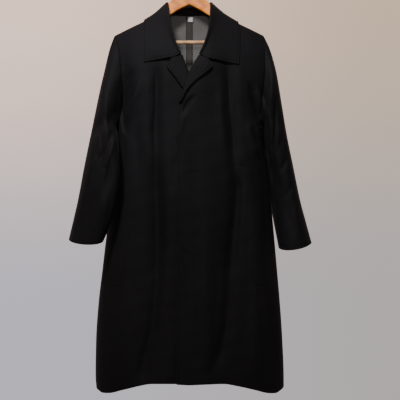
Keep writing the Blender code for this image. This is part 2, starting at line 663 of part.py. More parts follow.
def collar_grids():
    """The stand, from the neck seam up, and the leaf, from inside the roll over to its edge."""
    at, neck_x, neck_h, roll, edge_x, edge_h = collar_curves()
    neck = drape_out(neck_x, neck_h, 0 * neck_x)
    rise = (roll - neck) / np.linalg.norm(roll - neck, axis=1, keepdims=True)
    top = neck + (roll - neck) * STAND_SHARE
    radius = np.minimum(ROLL_RADIUS, 0.3 * np.linalg.norm(roll - neck, axis=1, keepdims=True))
    stand = through([neck + rise * STAND_FROM_SEAM, neck + (top - neck) * 0.5, top], STAND_ROWS)
    places = []
    at_gorge = np.clip(1 - at / 0.14, 0, 1) ** 2
    for share, lift, bow in LEAF_SECTION:
        x = neck_x + (edge_x - neck_x) * share
        h = neck_h + (edge_h - neck_h) * share + bow * at_gorge
        extra = front_step(x, shoulder_z(x) - np.abs(h)) * (h > 0) * (x > 0)
        places.append(drape_out(x, h, lift + extra))
    outward = grid_normals(stand)[-1]
    outward = outward - rise * np.sum(outward * rise, axis=1, keepdims=True)
    outward /= np.linalg.norm(outward, axis=1, keepdims=True)
    inside = top + rise * LEAF_ABOVE_STAND - outward * COLLAR_CLOTH
    centre = roll + outward * (radius - COLLAR_CLOTH) - rise * radius
    over = []
    for turn in ROLL_TURNS:
        over.append(centre + radius * (rise * sin(turn) - outward * cos(turn)))
    return stand, np.array([inside, *over, *places])


def lapel_grid(side, table, spans):
    """The turned-back front edge: from the roll line, over, to the lapel's outer edge."""
    t = np.unique(np.concatenate([np.linspace(0, 1, LAPEL_ALONG), table["at"][1:4]]))
    v = spans[0] + (spans[1] - spans[0]) * t
    roll_x = smooth_curve(FRONT_EDGE["v"], FRONT_EDGE[side + "_x"], v)
    roll_z = smooth_curve(FRONT_EDGE["v"], FRONT_EDGE[side + "_z"], v)
    edge_x = np.interp(t, table["at"], table["edge_x"])
    edge_z = np.interp(t, table["at"], table["edge_z"])
    wide = np.hypot(edge_x - roll_x, edge_z - roll_z)
    way_x = (edge_x - roll_x) / wide
    way_z = (edge_z - roll_z) / wide
    section = (
        (0 * wide - 0.0008, 0.0004),
        (0 * wide - 0.0034, 0.0022),
        (0 * wide - 0.0006, 0.0050),
        (0.30 * wide + 0.001, 0.0062),
        (0.65 * wide, 0.0056),
        (wide, LAPEL_LIFT - 0.0004),
    )
    rows = []
    for run, lift in section:
        x = roll_x + way_x * run
        z = roll_z + way_z * run
        point = drape(x, shoulder_z(x) - z)
        if side == "left":
            point[..., 1] -= front_step(x, z)
        point[..., 1] -= lift
        rows.append(point)
    return through(rows, LAPEL_ACROSS)


def on_grid(grid, row, column):
    """Point of a grid between its rows and columns."""
    i = np.clip(np.floor(row).astype(int), 0, grid.shape[0] - 2)
    j = np.clip(np.floor(column).astype(int), 0, grid.shape[1] - 2)
    a = (row - i)[..., None]
    b = (column - j)[..., None]
    low = grid[i, j] * (1 - b) + grid[i, j + 1] * b
    high = grid[i + 1, j] * (1 - b) + grid[i + 1, j + 1] * b
    return low * (1 - a) + high * a


def rod(name, path, radius, look, parent, sides=12):
    """A round bar along a path of points, closed at both ends, with its origin at the path's start."""
    path = np.asarray(path, float)
    way = np.gradient(path, axis=0)
    way /= np.linalg.norm(way, axis=1, keepdims=True)
    side = np.array([0.0, 1.0, 0.0])
    points = []
    for centre, forward in zip(path, way):
        other = np.cross(forward, side)
        other /= np.linalg.norm(other)
        for k in range(sides):
            turn = 2 * pi * k / sides
            points.append(centre + radius * (cos(turn) * side + sin(turn) * other))
    faces = []
    for i in range(len(path) - 1):
        for k in range(sides):
            a = i * sides + k
            b = i * sides + (k + 1) % sides
            faces.append((a, b, b + sides, a + sides))
    faces.append(tuple(reversed(range(sides))))
    last = (len(path) - 1) * sides
    faces.append(tuple(last + k for k in range(sides)))
    return new_object(name, points, faces, look, parent, path[0])


def hanger_outline():
    right = [*WOOD_TOP]
    for x in np.linspace(0.088, 0.196, 7):
        right.append((x, float(shoulder_z(x)) - WOOD_UNDER_CLOTH))
    for x, drop in WOOD_END:
        right.append((x, float(shoulder_z(x)) - WOOD_UNDER_CLOTH - drop))
    right.extend(WOOD_LOW)
    left = [(-x, z) for x, z in reversed(right[1:-1])]
    return right + left


def hanger_wood(look, hanger):
    outline = hanger_outline()
    count = len(outline)
    points = [(x, -WOOD_HALF, z) for x, z in outline] + [(x, WOOD_HALF, z) for x, z in outline]
    faces = [tuple(reversed(range(count))), tuple(range(count, 2 * count))]
    faces += [(k, (k + 1) % count, count + (k + 1) % count, count + k) for k in range(count)]
    wood = new_object("hanger_wood", points, faces, look, hanger)
    bevel = wood.modifiers.new("rounded edges", "BEVEL")
    bevel.width = WOOD_ROUND
    bevel.segments = 2
    bevel.limit_method = "ANGLE"
    bevel.angle_limit = 1.2
    cut(wood, "bar_socket", bar_path(SOCKET_GAP), BAR_RADIUS + SOCKET_GAP, BAR_SIDES)
    stem = [(0, 0, STEM_LOW_Z - SOCKET_GAP), (0, 0, -0.06)]
    cut(wood, "stem_socket", stem, WIRE_RADIUS + SOCKET_GAP, WIRE_SIDES)
    return wood


def cut(thing, name, path, radius, sides):
    """A round hole along a path."""
    tool = rod(name, path, radius, thing.data.materials[0], thing, sides)
    tool.hide_render = True
    tool.display_type = "WIRE"
    take = thing.modifiers.new(name, "BOOLEAN")
    take.operation = "DIFFERENCE"
    take.solver = "EXACT"
    take.object = tool


def bar_path(longer=0.0):
    end = BAR_HALF_LENGTH + longer
    return [(x, 0.0, BAR_Z) for x in np.linspace(-end, end, 5)]


def hook_path():
    """Up the stem, aside and over the top in a round hook whose inner top is the origin."""
    centre = (0.0, WIRE_RADIUS - HOOK_RADIUS)
    path = [(0, 0, STEM_LOW_Z), (0, 0, -0.070), (0, 0, -0.058)]
    path += [(0.0045, 0, -0.0490), (0.0135, 0, -0.0400)]
    for turn in np.linspace(-0.55, pi + 0.35, 16):
        path.append((centre[0] + HOOK_RADIUS * cos(turn), 0, centre[1] + HOOK_RADIUS * sin(turn)))
    return path


def facing_out(grid, normals):
    """The grid and its normals with the columns in the order that makes faces look outwards."""
    turned = np.cross(grid[1:, :-1] - grid[:-1, :-1], grid[:-1, 1:] - grid[:-1, :-1])
    if np.sum(turned * normals[:-1, :-1]) < 0:
        return grid[:, ::-1], normals[:, ::-1]
    return grid, normals


def seam_normals(fronts, backs):
    """Normals of the four body panels, equal on both sides of every seam."""
    made = {}
    for side, sign in SIGN.items():
        front = grid_normals(fronts[side], -sign)
        back = grid_normals(backs[side], sign)
        low = LOW_ROWS + 1
        share_normals(front[:low, -1], back[:low, -1])
        up = np.array([SHOULDER_SLOPE * sign, 0, 1]) / np.hypot(SHOULDER_SLOPE, 1)
        front[-1] = up
        back[-1, np.abs(backs[side][-1, :, 0]) > NECK_X - 0.003] = up
        back[:, 0, 0] = 0
        back[:, 0] /= np.linalg.norm(back[:, 0], axis=-1, keepdims=True)
        made[side] = (front, back)
    return made


def welt_grid(panel, normals):
    """A strip on a panel, made from its points and moved out."""
    i = np.linspace(*WELT_ROWS, 9)
    share = (i - i[0]) / (i[-1] - i[0])
    j = np.linspace(*WELT_COLUMNS, 5)[None] + WELT_SLANT * share[:, None]
    i = np.broadcast_to(i[:, None], j.shape)
    out = on_grid(normals, i, j)
    return on_grid(panel, i, j) + out * (WELT_ABOVE_FRONT + TRIM_CLOTH), out


def tape_grid(backs, normals):
    """A strip over the centre back seam, on the inner faces of both back pieces."""
    columns = []
    for side, x in (("right", -TAPE_HALF), ("right", 0.0), ("left", TAPE_HALF)):
        inner = backs[side] - normals[side][1] * CLOTH
        share = (x - inner[:, 0, 0]) / (inner[:, 1, 0] - inner[:, 0, 0])
        share = share if x else 0 * share
        point = inner[:, 0] * (1 - share)[:, None] + inner[:, 1] * share[:, None]
        columns.append(point)
    grid = np.stack(columns, axis=1)[:-1]
    grid[:, 1, 0] = 0
    out = -grid_normals(grid, 1.0)
    return grid + out * (0.0006 + TRIM_CLOTH), out


def label_grid(tape):
    """The small label, on the upper end of the tape."""
    level = np.array([LABEL_LOW_Z, (LABEL_LOW_Z + LABEL_TOP_Z) / 2, LABEL_TOP_Z])
    order = np.argsort(tape[:, 1, 2])
    y = np.min([np.interp(level, tape[order, 1, 2], tape[order, k, 1]) for k in range(3)], axis=0)
    rows = [[(x, y[k], level[k]) for x in (LABEL_X[0], 0.0, LABEL_X[1])] for k in range(3)]
    normal = np.broadcast_to(np.array([0.0, -1.0, 0.0]), (3, 3, 3))
    return np.array(rows) + normal * (0.0009 + LABEL_THICK), normal


def build():
    remove_startup_objects()
    cloth = material("cloth", (0.012, 0.012, 0.014), 0.85)
    tape_look = material("tape", (0.02, 0.02, 0.022), 0.8)
    label_look = material("label", (0.75, 0.74, 0.72), 0.8)
    wood_look = material("wood", (0.62, 0.36, 0.17), 0.45)
    steel = material("steel", (0.62, 0.62, 0.62), 0.25, 1.0)
    coat = new_empty("coat")
    hanger = new_empty("hanger")

    fronts = {side: front_panel(side) for side in SIGN}
    backs = {side: back_panel(side) for side in SIGN}
    normals = seam_normals(fronts, backs)
    for side in SIGN:
        front_normals, back_normals = normals[side]
        loop, loop_normals, away = armhole_loop(
            fronts[side], front_normals, backs[side], back_normals, SLEEVE_AROUND
        )
        table, folds, drop = SLEEVES[side]
        start = loop + away * SEAM_GAP
        low = np.clip((UNDERARM_GAP_FROM_Z - loop[:, 2]) / UNDERARM_GAP_OVER, 0, 1)
        start[:, 0] += SIGN[side] * (SLEEVE_GAP + UNDERARM_GAP[side] * low)
        sleeve = sleeve_grid(table, drop, folds, start, SLEEVE_ALONG)
        sleeve_normals = grid_normals(sleeve, -SIGN[side], ring=True)
        sleeve_normals[0] = loop_normals + sleeve_normals[1]
        sleeve_normals[0] /= np.linalg.norm(sleeve_normals[0], axis=1, keepdims=True)
        wall("sleeve_" + side, *facing_out(sleeve, sleeve_normals), CLOTH, cloth, coat, ring=True)
        front = pull_back(fronts[side], "end", SEAM_GAP / 2)
        front = pull_back(front, "top", SEAM_GAP / 2)
        wall("front_" + side, *facing_out(front, front_normals), CLOTH, cloth, coat)
        back = pull_back(backs[side], "end", SEAM_GAP / 2)
        back = pull_back(back, "top", SEAM_GAP / 2)
        back = pull_back(back, "start", SEAM_GAP / 3)
        wall("back_" + side, *facing_out(back, back_normals), CLOTH, cloth, coat)
        grid, out = welt_grid(fronts[side], front_normals)
        wall("pocket_welt_" + side, *facing_out(grid, out), TRIM_CLOTH, cloth, coat)
        grid = lapel_grid(side, *LAPELS[side])
        out = grid_normals(grid, -SIGN[side])
        wall("lapel_" + side, *facing_out(grid, out), COLLAR_CLOTH, cloth, coat)

    stand, leaf = collar_grids()
    wall("collar_stand", *facing_out(stand, grid_normals(stand, 1.0)), COLLAR_CLOTH, cloth, coat)
    wall("collar_leaf", *facing_out(leaf, grid_normals(leaf, -1.0)), COLLAR_CLOTH, cloth, coat)
    grid, out = tape_grid(backs, normals)
    wall("back_seam_tape", *facing_out(grid, out), TRIM_CLOTH, tape_look, coat)
    grid, out = label_grid(grid)
    wall("label", *facing_out(grid, out), LABEL_THICK, label_look, coat)
    hanger_wood(wood_look, hanger)
    rod("hanger_bar", bar_path(), BAR_RADIUS, wood_look, hanger, BAR_SIDES)
    rod("hanger_hook", hook_path(), WIRE_RADIUS, steel, hanger, WIRE_SIDES)


build()
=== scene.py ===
"""The looks of a long coat with a turned-down collar, hung open-necked on a wooden hanger.

Metres, +Z up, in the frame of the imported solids. The front faces -Y and +X is the wearer's left. Each
cloth piece is a fine thin shell on the same drape as its solid, with the smaller creases, seams and
stitching added.
"""

from math import cos, pi, radians, sin

import bpy
import numpy as np
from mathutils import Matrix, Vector


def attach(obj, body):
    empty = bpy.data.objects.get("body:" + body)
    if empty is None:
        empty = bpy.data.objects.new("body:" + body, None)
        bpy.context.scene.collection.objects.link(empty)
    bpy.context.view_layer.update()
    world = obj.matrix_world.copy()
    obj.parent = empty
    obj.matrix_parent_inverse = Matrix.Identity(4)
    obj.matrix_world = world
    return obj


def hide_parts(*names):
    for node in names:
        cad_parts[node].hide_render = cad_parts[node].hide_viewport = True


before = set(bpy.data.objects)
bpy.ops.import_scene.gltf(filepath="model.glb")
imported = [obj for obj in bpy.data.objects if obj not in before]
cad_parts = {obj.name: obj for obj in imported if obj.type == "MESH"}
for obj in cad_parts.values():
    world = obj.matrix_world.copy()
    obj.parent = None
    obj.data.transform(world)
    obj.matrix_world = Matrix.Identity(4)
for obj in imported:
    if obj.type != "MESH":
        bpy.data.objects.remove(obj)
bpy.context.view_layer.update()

def read_table(text):
    """Rows of numbers by name, from text in millimetres; at and v are shares of the way."""
    rows = {}
    for name, *numbers in (line.split() for line in text.strip().splitlines()):
        size = 1 if name in ("at", "v") else 1000
        rows[name] = tuple(float(number) / size for number in numbers)
    return rows

def read_paths(text):
    """Paths in metres, from text in millimetres: a comma ends a point and a semicolon a path."""
    return [
        [[float(number) / 1000 for number in point.split()] for point in path.split(",")]
        for path in text.split(";")
    ]

# Thickness of each kind of cloth, and the sign of x on each side.
CLOTH = 0.0015
COLLAR_CLOTH = 0.0013
TRIM_CLOTH = 0.0010
SIGN = {"right": -1.0, "left": 1.0}

CAMERA_AT = (0.032, -2.6, -0.6915)
FACING = 0.45
RIPPLES = 9
RIPPLE_LENGTHS = (0.045, 0.17)
RIPPLE_HEIGHT = 0.0042
WOOD_STATIONS = 260
WOOD_AROUND = 48
WOOD_EDGE = 0.0045
SEAM_DIP = 0.0007
SEAM_REACH = 0.0035
INWARD = 0.02  # how far a sleeve may lean in under the body, from armhole to cuff
ALLOWANCE = 0.020  # coat cloth turned in at the armhole, inside the sleeve
SET_IN = 0.30  # share of a sleeve's length over which it takes its own shape
CUFF_FROM = 0.75
SLEEVE_LENGTH = 0.62
SLEEVE_GIRTH = 0.36
FOLDS_FROM = 0.08
FOLDS_FADE = 0.26
BAR_Z = -0.230
BAR_RADIUS = 0.0056
BAR_HALF_LENGTH = 0.188
BAR_STATIONS = 91
BAR_AROUND = 40
BAR_EASE = 0.0015

# Body: shoulder line, cross section and landmarks.
SHOULDER_PEAK_Z = -0.1098
SHOULDER_SLOPE = 0.485
SHOULDER_ROUND = 0.20
SHOULDER_CURVE = 0.012
SIDE_BLEND = 0.06
SECTION_POWER = 2.4
CORNER_X = 0.2185
NECK_X = 0.085
BACK_NECK_Z = -0.1457
UNDERARM_Z = -0.465
HEM_SIDE_Z = -1.233
BACK_HEM_Z = -1.224
BACK_ARM_Z = -0.45

# Places up a panel's outer border: 0 at the hem, 1 at the shoulder seam.
ARM_V = 0.72
HEM_FADE_V = 0.25
HEM_FADE_POWER = 1.5

# Overlap of the fronts, lapels and collar.
OVERLAP_STEP = 0.0090
OVERLAP_FROM_X = 0.035
OVERLAP_TO_X = 0.110
OVERLAP_TOP_Z = -0.255
OVERLAP_FADE = 0.06
LAPEL_LIFT = 0.0050
STAND_SHARE = 0.60
STAND_FROM_SEAM = 0.0004
LEAF_ABOVE_STAND = 0.0006
ROLL_RADIUS = 0.0033
ROLL_TURNS = tuple(np.linspace(0, pi, 9))

# Sampling of the fine shells. The CAD counts place the pocket's strips.
LOW_ROWS = 178
HIGH_ROWS = 82
ROW_POWER = 1.5
FRONT_COLUMNS = 141
BACK_COLUMNS = 113
BACK_NECK_SHARE = 5 / 14
CAD_LOW_ROWS = 16
CAD_COLUMNS = 16
SLEEVE_AROUND = 192
SLEEVE_ALONG = 176
COLLAR_ALONG = 130
COLLAR_SPREAD = (0.0, 0.13, 0.27, 0.40, 0.475, 0.52, 0.555, 0.62, 0.74, 0.87, 1.0)
STAND_ROWS = 14
LEAF_PLACES = (*np.linspace(0, 0.32, 26), *np.linspace(0.34, 1, 44))
LAPEL_ALONG = 110
LAPEL_ACROSS = (*np.linspace(0, 0.2, 12), *np.linspace(0.23, 1, 26))
HOOK_POINTS = 150

# Trims: the strip over the centre back seam, the label on it, and the pocket strips.
TAPE_HALF = 0.010
LABEL_X = (-0.0041, 0.0106)
LABEL_LOW_Z = -0.1635
LABEL_TOP_Z = -0.1495
LABEL_THICK = 0.0010
TAPE_LIFT = 0.0006
LABEL_LIFT = 0.0009
WELT_ROWS = (6.1, 9.1)
WELT_COLUMNS = (9.0, 10.7)
WELT_SLANT = -0.5
WELT_ABOVE_FRONT = 0.0001

# Stitching and seam grooves in the looks, the grooves with painted shade darkening their colour.
STITCH_HALF = 0.0009
STITCH_STEP = 0.0034
GROOVE_HALF = 0.0022

# Hanger: wood, bar and wire hook.
WOOD_UNDER_CLOTH = 0.0029
WOOD_HALF = 0.0065
WIRE_RADIUS = 0.0018
HOOK_RADIUS = 0.0215
STEM_LOW_Z = -0.094
# Upper edge of the wood where it shows in the neck, and its lower edge from the end to the middle.
WOOD_TOP = (
    (0.0, -0.0800), (0.012, -0.0808), (0.026, -0.0850), (0.042, -0.0950), (0.057, -0.1120),
    (0.068, -0.1300), (0.0785, -0.1475),
)
WOOD_LOW = (
    (0.2130, -0.2260), (0.2060, -0.2420), (0.1900, -0.2440), (0.1760, -0.2300), (0.1560, -0.2130),
    (0.1200, -0.1880), (0.0600, -0.1530), (0.0200, -0.1290), (0.0, -0.1200),
)
# Upper edge near the end, as place and drop below the cloth.
WOOD_END = ((0.2050, 0.0018), (0.2110, 0.0070))

# Half width of the body on the wearer's right and left, and half depth, by height.
BODY = read_table("""
    z -1260 -1200 -1100 -1000 -900 -810 -730 -650 -560 -465 -380 -300 -100
    right 269 273.5 272 265.5 254 243.5 233 223.5 214 211.5 226 236 246
    left 277.5 277 273 266.5 258 250 242.5 233 220 216 228 238 248
    front 98 96 93 90 87 85 83 82 80 78 76 70 48
    back 82 80 77 75 73 71 69 67 66 64 63 61 56
""")

# Height of the hem by distance from the centre.
HEM = read_table("""
    x 0 50 100 140 190 230 250 262 280
    front -1213 -1211 -1212 -1219 -1232 -1244 -1246 -1242 -1233
    back -1224 -1224 -1225 -1227 -1233 -1241 -1245 -1242 -1233
""")

# Inner edge of each front from the hem up: front edge, roll line, then neck seam.
FRONT_EDGE = read_table("""
    v 0 0.3 0.6 0.725 0.755 0.785 0.81 0.832 0.854 0.882 0.912 0.945 0.975 1
    right_x 30 30 30 30 27 16 4 -3.9 -13.3 -23.9 -44 -62 -76 -85
    right_z -1213 -880 -565 -440 -402 -372 -345 -322.4 -300.7 -270.7 -238 -198 -165 -145.5
    left_x -34 -33.5 -33 -32.5 -21.5 -13.2 -7.5 3.9 16.5 32 50 66 78 85
    left_z -1213 -880 -565 -440 -397 -373.2 -354.8 -328 -305.4 -277 -238 -198 -165 -145.5
""")

# Armhole above the underarm: distance from the centre on the front and the back, and height.
ARMHOLE = read_table("""
    v 0.745 0.785 0.835 0.89 0.945 1
    front_right 202 195 192 195.5 204 218.5
    front_left 207 210 215 220 221 218.5
    back_right 205 204 204 206 211 218.5
    back_left 207 206 206 208 212 218.5
    z -455 -425 -375 -320 -262 -210.5
""")

# Sleeve rings from the armhole down: outer point, inner point and half thickness across them.
SLEEVE_LEFT = read_table("""
    at 0 0.1 0.22 0.36 0.52 0.66 0.8 0.9 1
    outer_x 219 236.5 253.5 269.5 287 306 327 343.5 359
    outer_y 0 0 2 6 10 12 10 6 2
    outer_z -210.5 -248 -306 -395 -500 -592 -695 -758 -816
    inner_x 216 217 214.5 212.5 215.5 224.5 240.5 251 262
    inner_y 0 4 14 30 44 44 32 16 0
    inner_z -465 -471 -483 -511 -565 -625 -705 -766 -827
    half 45 54 62 66 66 63 58 55 52
""")
SLEEVE_RIGHT = read_table("""
    at 0 0.1 0.22 0.36 0.52 0.66 0.8 0.9 1
    outer_x -219 -232 -247 -264 -281.5 -300 -316.5 -330 -344
    outer_y 0 -4 -10 -22 -38 -50 -56 -56 -54
    outer_z -210.5 -248 -315 -400 -495 -593 -685 -745 -802
    inner_x -211.5 -211 -209 -202 -195 -193.5 -205 -221 -242
    inner_y 0 -6 -24 -52 -78 -90 -90 -86 -82
    inner_z -465 -472 -486 -515 -565 -625 -702 -758 -808
    half 45 52 56 54 48 44 42 42 44
""")

# Collar stations from the gorge to the centre back: neck seam and leaf edge as places on the drape
# surface (x, and height below the shoulder line, negative behind), and the roll at the top in space.
COLLAR = read_table("""
    at 0 0.1 0.22 0.36 0.52 0.66 0.8 0.9 1
    neck_x 32 44 59 73 85 78 54 28 0
    neck_h 157 122 78 30 0 -3 -14 -27 -35.9
    roll_x 30 43.5 55 60 61 56 42 23 0
    roll_y -77.5 -72.5 -62.5 -44.5 -4 20 41 49 51
    roll_z -273 -244 -203 -156 -114 -111.5 -109 -108 -107.5
    edge_x 142 144.5 145.5 146 142 134 101 52 0
    edge_h 130 105 73 34 0 -16 -43 -64 -76
""")
# Across the leaf: share of the way out, distance off the drape surface, dip towards the notch.
LEAF_SECTION = ((0.22, 0.0094, 0.0062), (0.46, 0.0072, 0.0042), (0.74, 0.0056, 0.0020), (1.0, 0.0046, 0.0))
# How much nearer the centre they lie on the wearer's right, up to which station, fading over how much.
COLLAR_RIGHT_SHIFT = {
    "roll_x": (0.0085, 0.52, 0.25),
    "neck_x": (0.0085, 0.30, 0.30),
    "edge_x": (0.0130, 1.0, 0.40),
}

# Lapels: places down the roll line, and the outer edge in front view, with a corner at the tip.
LAPEL_LEFT = read_table("""
    at 0 0.13 0.17 0.21 0.36 0.52 0.68 0.8 0.9 1
    edge_x 54.5 65.5 67.2 65.5 52 37 20 6 -7 -20
    edge_z -286.5 -305 -309.2 -313.5 -327 -338.5 -351.5 -365 -380 -408
""")
LAPEL_RIGHT = read_table("""
    at 0 0.13 0.17 0.21 0.36 0.52 0.68 0.8 0.9 1
    edge_x -47.5 -61 -64.2 -62.2 -52 -42 -30 -19 -6 8
    edge_z -284.5 -302 -307.4 -311 -325 -337 -354 -370 -384 -398
""")

# Folds: a path in front view, x and z, then a half width and a depth, positive forward.
FRONT_FOLDS = read_paths("""
    -98 -300, -100 -430, -96 -530, 20 -10;
    -104 -600, -97 -750, -98 -930, 24 -11;
    -98 -950, -106 -1060, -128 -1200, 22 -9;
    113 -300, 126 -420, 129 -570, 20 -9;
    136 -610, 132 -750, 128 -900, 22 -10;
    120 -940, 106 -1060, 72 -1170, 22 -8;
    -32 -620, -30 -800, -36 -1000, 30 4;
    190 -360, 205 -460, 14 -7;
    176 -470, 196 -560, 16 6;
    -170 -320, -192 -440, 16 -9;
    190 -700, 200 -950, 205 -1200, 26 6;
    -190 -720, -196 -950, -205 -1200, 26 6
""")
BACK_FOLDS = read_paths("""
    -105 -340, -112 -600, -120 -920, 26 -11;
    112 -360, 118 -640, 112 -980, 26 -11;
    -128 -960, -140 -1200, 26 -10;
    106 -1000, 90 -1200, 24 -9;
    -50 -700, -46 -1200, 30 6;
    45 -750, 40 -1200, 30 6;
    170 -380, 196 -500, 18 -7;
    -170 -380, -194 -500, 18 -7
""")

# Sleeve folds: place along and turn round from the outer line over the front, half width, depth.
SLEEVE_FOLDS_LEFT = (
    (((0.20, 0.30), (0.42, 0.20)), 0.018, -0.0080),
    (((0.18, 0.42), (0.40, 0.36)), 0.016, -0.0070),
    (((0.40, 0.12), (0.62, 0.22)), 0.020, -0.0070),
    (((0.50, 0.42), (0.72, 0.30)), 0.018, -0.0060),
    (((0.24, 0.72), (0.50, 0.66)), 0.022, -0.0080),
    (((0.55, 0.80), (0.80, 0.70)), 0.022, -0.0060),
)
SLEEVE_FOLDS_RIGHT = (
    (((0.12, 0.36), (0.36, 0.30)), 0.018, -0.0090),
    (((0.30, 0.32), (0.50, 0.12)), 0.018, -0.0090),
    (((0.46, 0.20), (0.62, 0.26)), 0.014, -0.0060),
    (((0.62, 0.36), (0.84, 0.24)), 0.018, -0.0050),
    (((0.24, 0.70), (0.50, 0.76)), 0.022, -0.0080),
    (((0.55, 0.66), (0.80, 0.76)), 0.022, -0.0060),
)
# How far the front and the back of each cuff hang down.
CUFF_DROP_LEFT = (0.006, 0.020)
CUFF_DROP_RIGHT = (0.012, 0.003)
SLEEVES = {
    "right": (SLEEVE_RIGHT, SLEEVE_FOLDS_RIGHT, CUFF_DROP_RIGHT),
    "left": (SLEEVE_LEFT, SLEEVE_FOLDS_LEFT, CUFF_DROP_LEFT),
}
# Each lapel's table, and how far up its front edge it starts and ends.
LAPELS = {"right": (LAPEL_RIGHT, (0.8745, 0.757)), "left": (LAPEL_LEFT, (0.880, 0.742))}

# Small creases, listed in front view from the top down, in millimetres: x, z, half width on
# each side, and height over the cloth. A minus height is a trough.
FRONT_CREASES = read_paths("""
    -97 -299 6 15 -1, -97 -340 6 18 -7, -97 -422 6 18 -8, -100 -486 9 18 -6, -97 -574 10 18 -6,
    -94 -691 12 18 -7, -91 -809 12 18 -7.5, -94 -911 10 15 -6, -100 -999 10 15 -5.5, -108 -1072 12 15 -5,
    -126 -1137 12 18 -4, -144 -1195 12 18 -2;
    -117 -316 12 12 0.5, -120 -369 12 12 3.5, -117 -428 12 12 2.5, -117 -516 15 12 1;
    -73 -545 12 15 0.5, -67 -691 12 18 2.5, -64 -838 12 18 3, -70 -984 12 18 1.5;
    114 -299 12 7 -1, 117 -352 12 6 -5, 117 -428 15 7 -6, 126 -486 15 7 -5.5, 132 -574 15 9 -4.5,
    132 -609 12 9 -2.5, 144 -650 12 9 -5, 141 -706 15 10 -6, 129 -794 15 12 -6, 120 -891 15 12 -4.5,
    114 -984 15 12 -2.5, 108 -1072 15 12 -5, 97 -1137 18 12 -4, 67 -1195 18 15 -2;
    94 -334 12 9 0.5, 94 -410 12 9 2.5, 103 -486 12 9 2, 111 -574 12 9 1;
    158 -650 9 12 0.5, 155 -735 9 12 2.2, 149 -838 9 12 1.8, 138 -955 9 15 0.8;
    -193 -311 6 9 -1, -196 -352 6 10 -8, -199 -398 6 12 -12, -196 -440 6 10 -10, -190 -486 6 9 -4;
    -173 -369 12 12 -1, -176 -416 12 12 -4, -182 -457 12 12 -4, -185 -492 9 12 -2;
    -211 -311 9 7 1, -214 -357 9 7 3.5, -217 -410 9 7 4, -211 -451 7 6 2;
    -146 -334 9 9 1, -152 -381 9 9 4.5, -164 -416 9 9 5, -176 -448 7 9 3;
    -190 -275 12 12 -1, -190 -299 12 12 -3, -190 -328 12 12 -1;
    -173 -311 4 9 -0.5, -182 -346 4 9 -5, -188 -381 4 10 -5, -190 -410 4 9 -1;
    -155 -363 6 5 0.6, -161 -393 8 4 4.5, -176 -428 8 4 4, -185 -460 6 4 1;
    -182 -481 7 9 0.5, -179 -545 9 12 2.5, -185 -621 9 12 2, -190 -691 9 12 0.5;
    -155 -457 9 15 -0.5, -152 -522 9 18 -3.5, -149 -604 9 18 -3, -149 -691 9 18 -1;
    193 -346 9 7 0.5, 202 -378 9 6 4.5, 214 -410 9 6 5.5, 229 -448 7 6 3;
    208 -352 4 9 -1, 220 -387 5 9 -6, 231 -422 5 9 -6, 243 -451 5 7 -2;
    176 -346 9 6 -0.5, 185 -375 9 5 -6, 193 -410 9 5 -9, 202 -437 9 5 -6, 208 -451 6 5 -1;
    196 -478 6 7 -1, 211 -472 6 7 -4, 226 -463 6 7 -4, 246 -463 6 6 -3;
    217 -475 9 9 -1, 217 -489 12 9 -4, 217 -507 9 9 -1;
    182 -475 5 6 -0.5, 190 -495 5 6 -6.5, 199 -519 5 7 -8, 208 -542 5 7 -6, 217 -574 6 7 -0.5;
    196 -457 6 6 0.5, 202 -481 6 6 4, 208 -504 6 6 3.5, 214 -533 6 6 0.5;
    214 -604 9 9 -0.5, 220 -677 9 9 -3, 226 -779 9 12 -3, 231 -897 9 12 -1;
    18 -387 5 5 -1, 3 -398 5 6 -6, -9 -416 6 7 -7, -15 -437 6 7 -2;
    -9 -428 6 9 1, -21 -463 6 10 4, -32 -501 6 10 4, -23 -539 7 10 1;
    -26 -545 7 9 -0.5, -41 -589 9 12 -2.5, -50 -648 9 12 -1;
    -15 -614 4 4 -0.3, 12 -612 4 4 -1.6, 38 -611 4 4 -0.3;
    138 -586 4 4 -0.3, 158 -593 4 5 -1.8, 179 -604 4 4 -0.3;
    -21 -841 9 9 -0.3, -9 -850 9 9 -1.6, 3 -856 9 9 -0.3;
    -32 -785 9 9 -0.3, -23 -797 9 9 -1.4, -15 -809 9 9 -0.3;
    -70 -873 4 4 0.2, -67 -914 5 5 1.3, -64 -949 4 4 0.2;
    -56 -885 4 4 0.2, -53 -920 5 5 1.1, -53 -955 4 4 0.2;
    50 -691 12 15 0.2, 50 -809 15 18 2.2, 47 -955 15 18 2, 50 -1072 12 18 0.4;
    23 -809 9 12 -0.2, 23 -926 9 12 -1.8, 26 -1043 9 12 -1.6, 29 -1131 9 12 -0.3;
    85 -873 9 12 -0.3, 82 -984 12 15 -2.2, 76 -1087 12 15 -1.6, 70 -1160 9 12 -0.3;
    170 -803 6 7 -0.3, 170 -838 6 7 -1.8, 170 -879 6 7 -0.3;
    -226 -838 12 12 -0.3, -220 -955 12 15 -3, -217 -1072 12 15 -3, -214 -1195 12 15 -1;
    -185 -809 9 12 0.3, -179 -955 12 12 2.4, -173 -1102 12 12 1.6;
    202 -873 12 12 -0.3, 211 -984 12 15 -3, 217 -1102 12 15 -3, 226 -1195 12 15 -1;
    -50 -1072 12 12 0.3, -53 -1137 12 15 2.2, -56 -1207 12 15 2.2;
    179 -984 12 12 0.3, 185 -1087 12 12 2.2, 190 -1195 12 12 1.6
""")
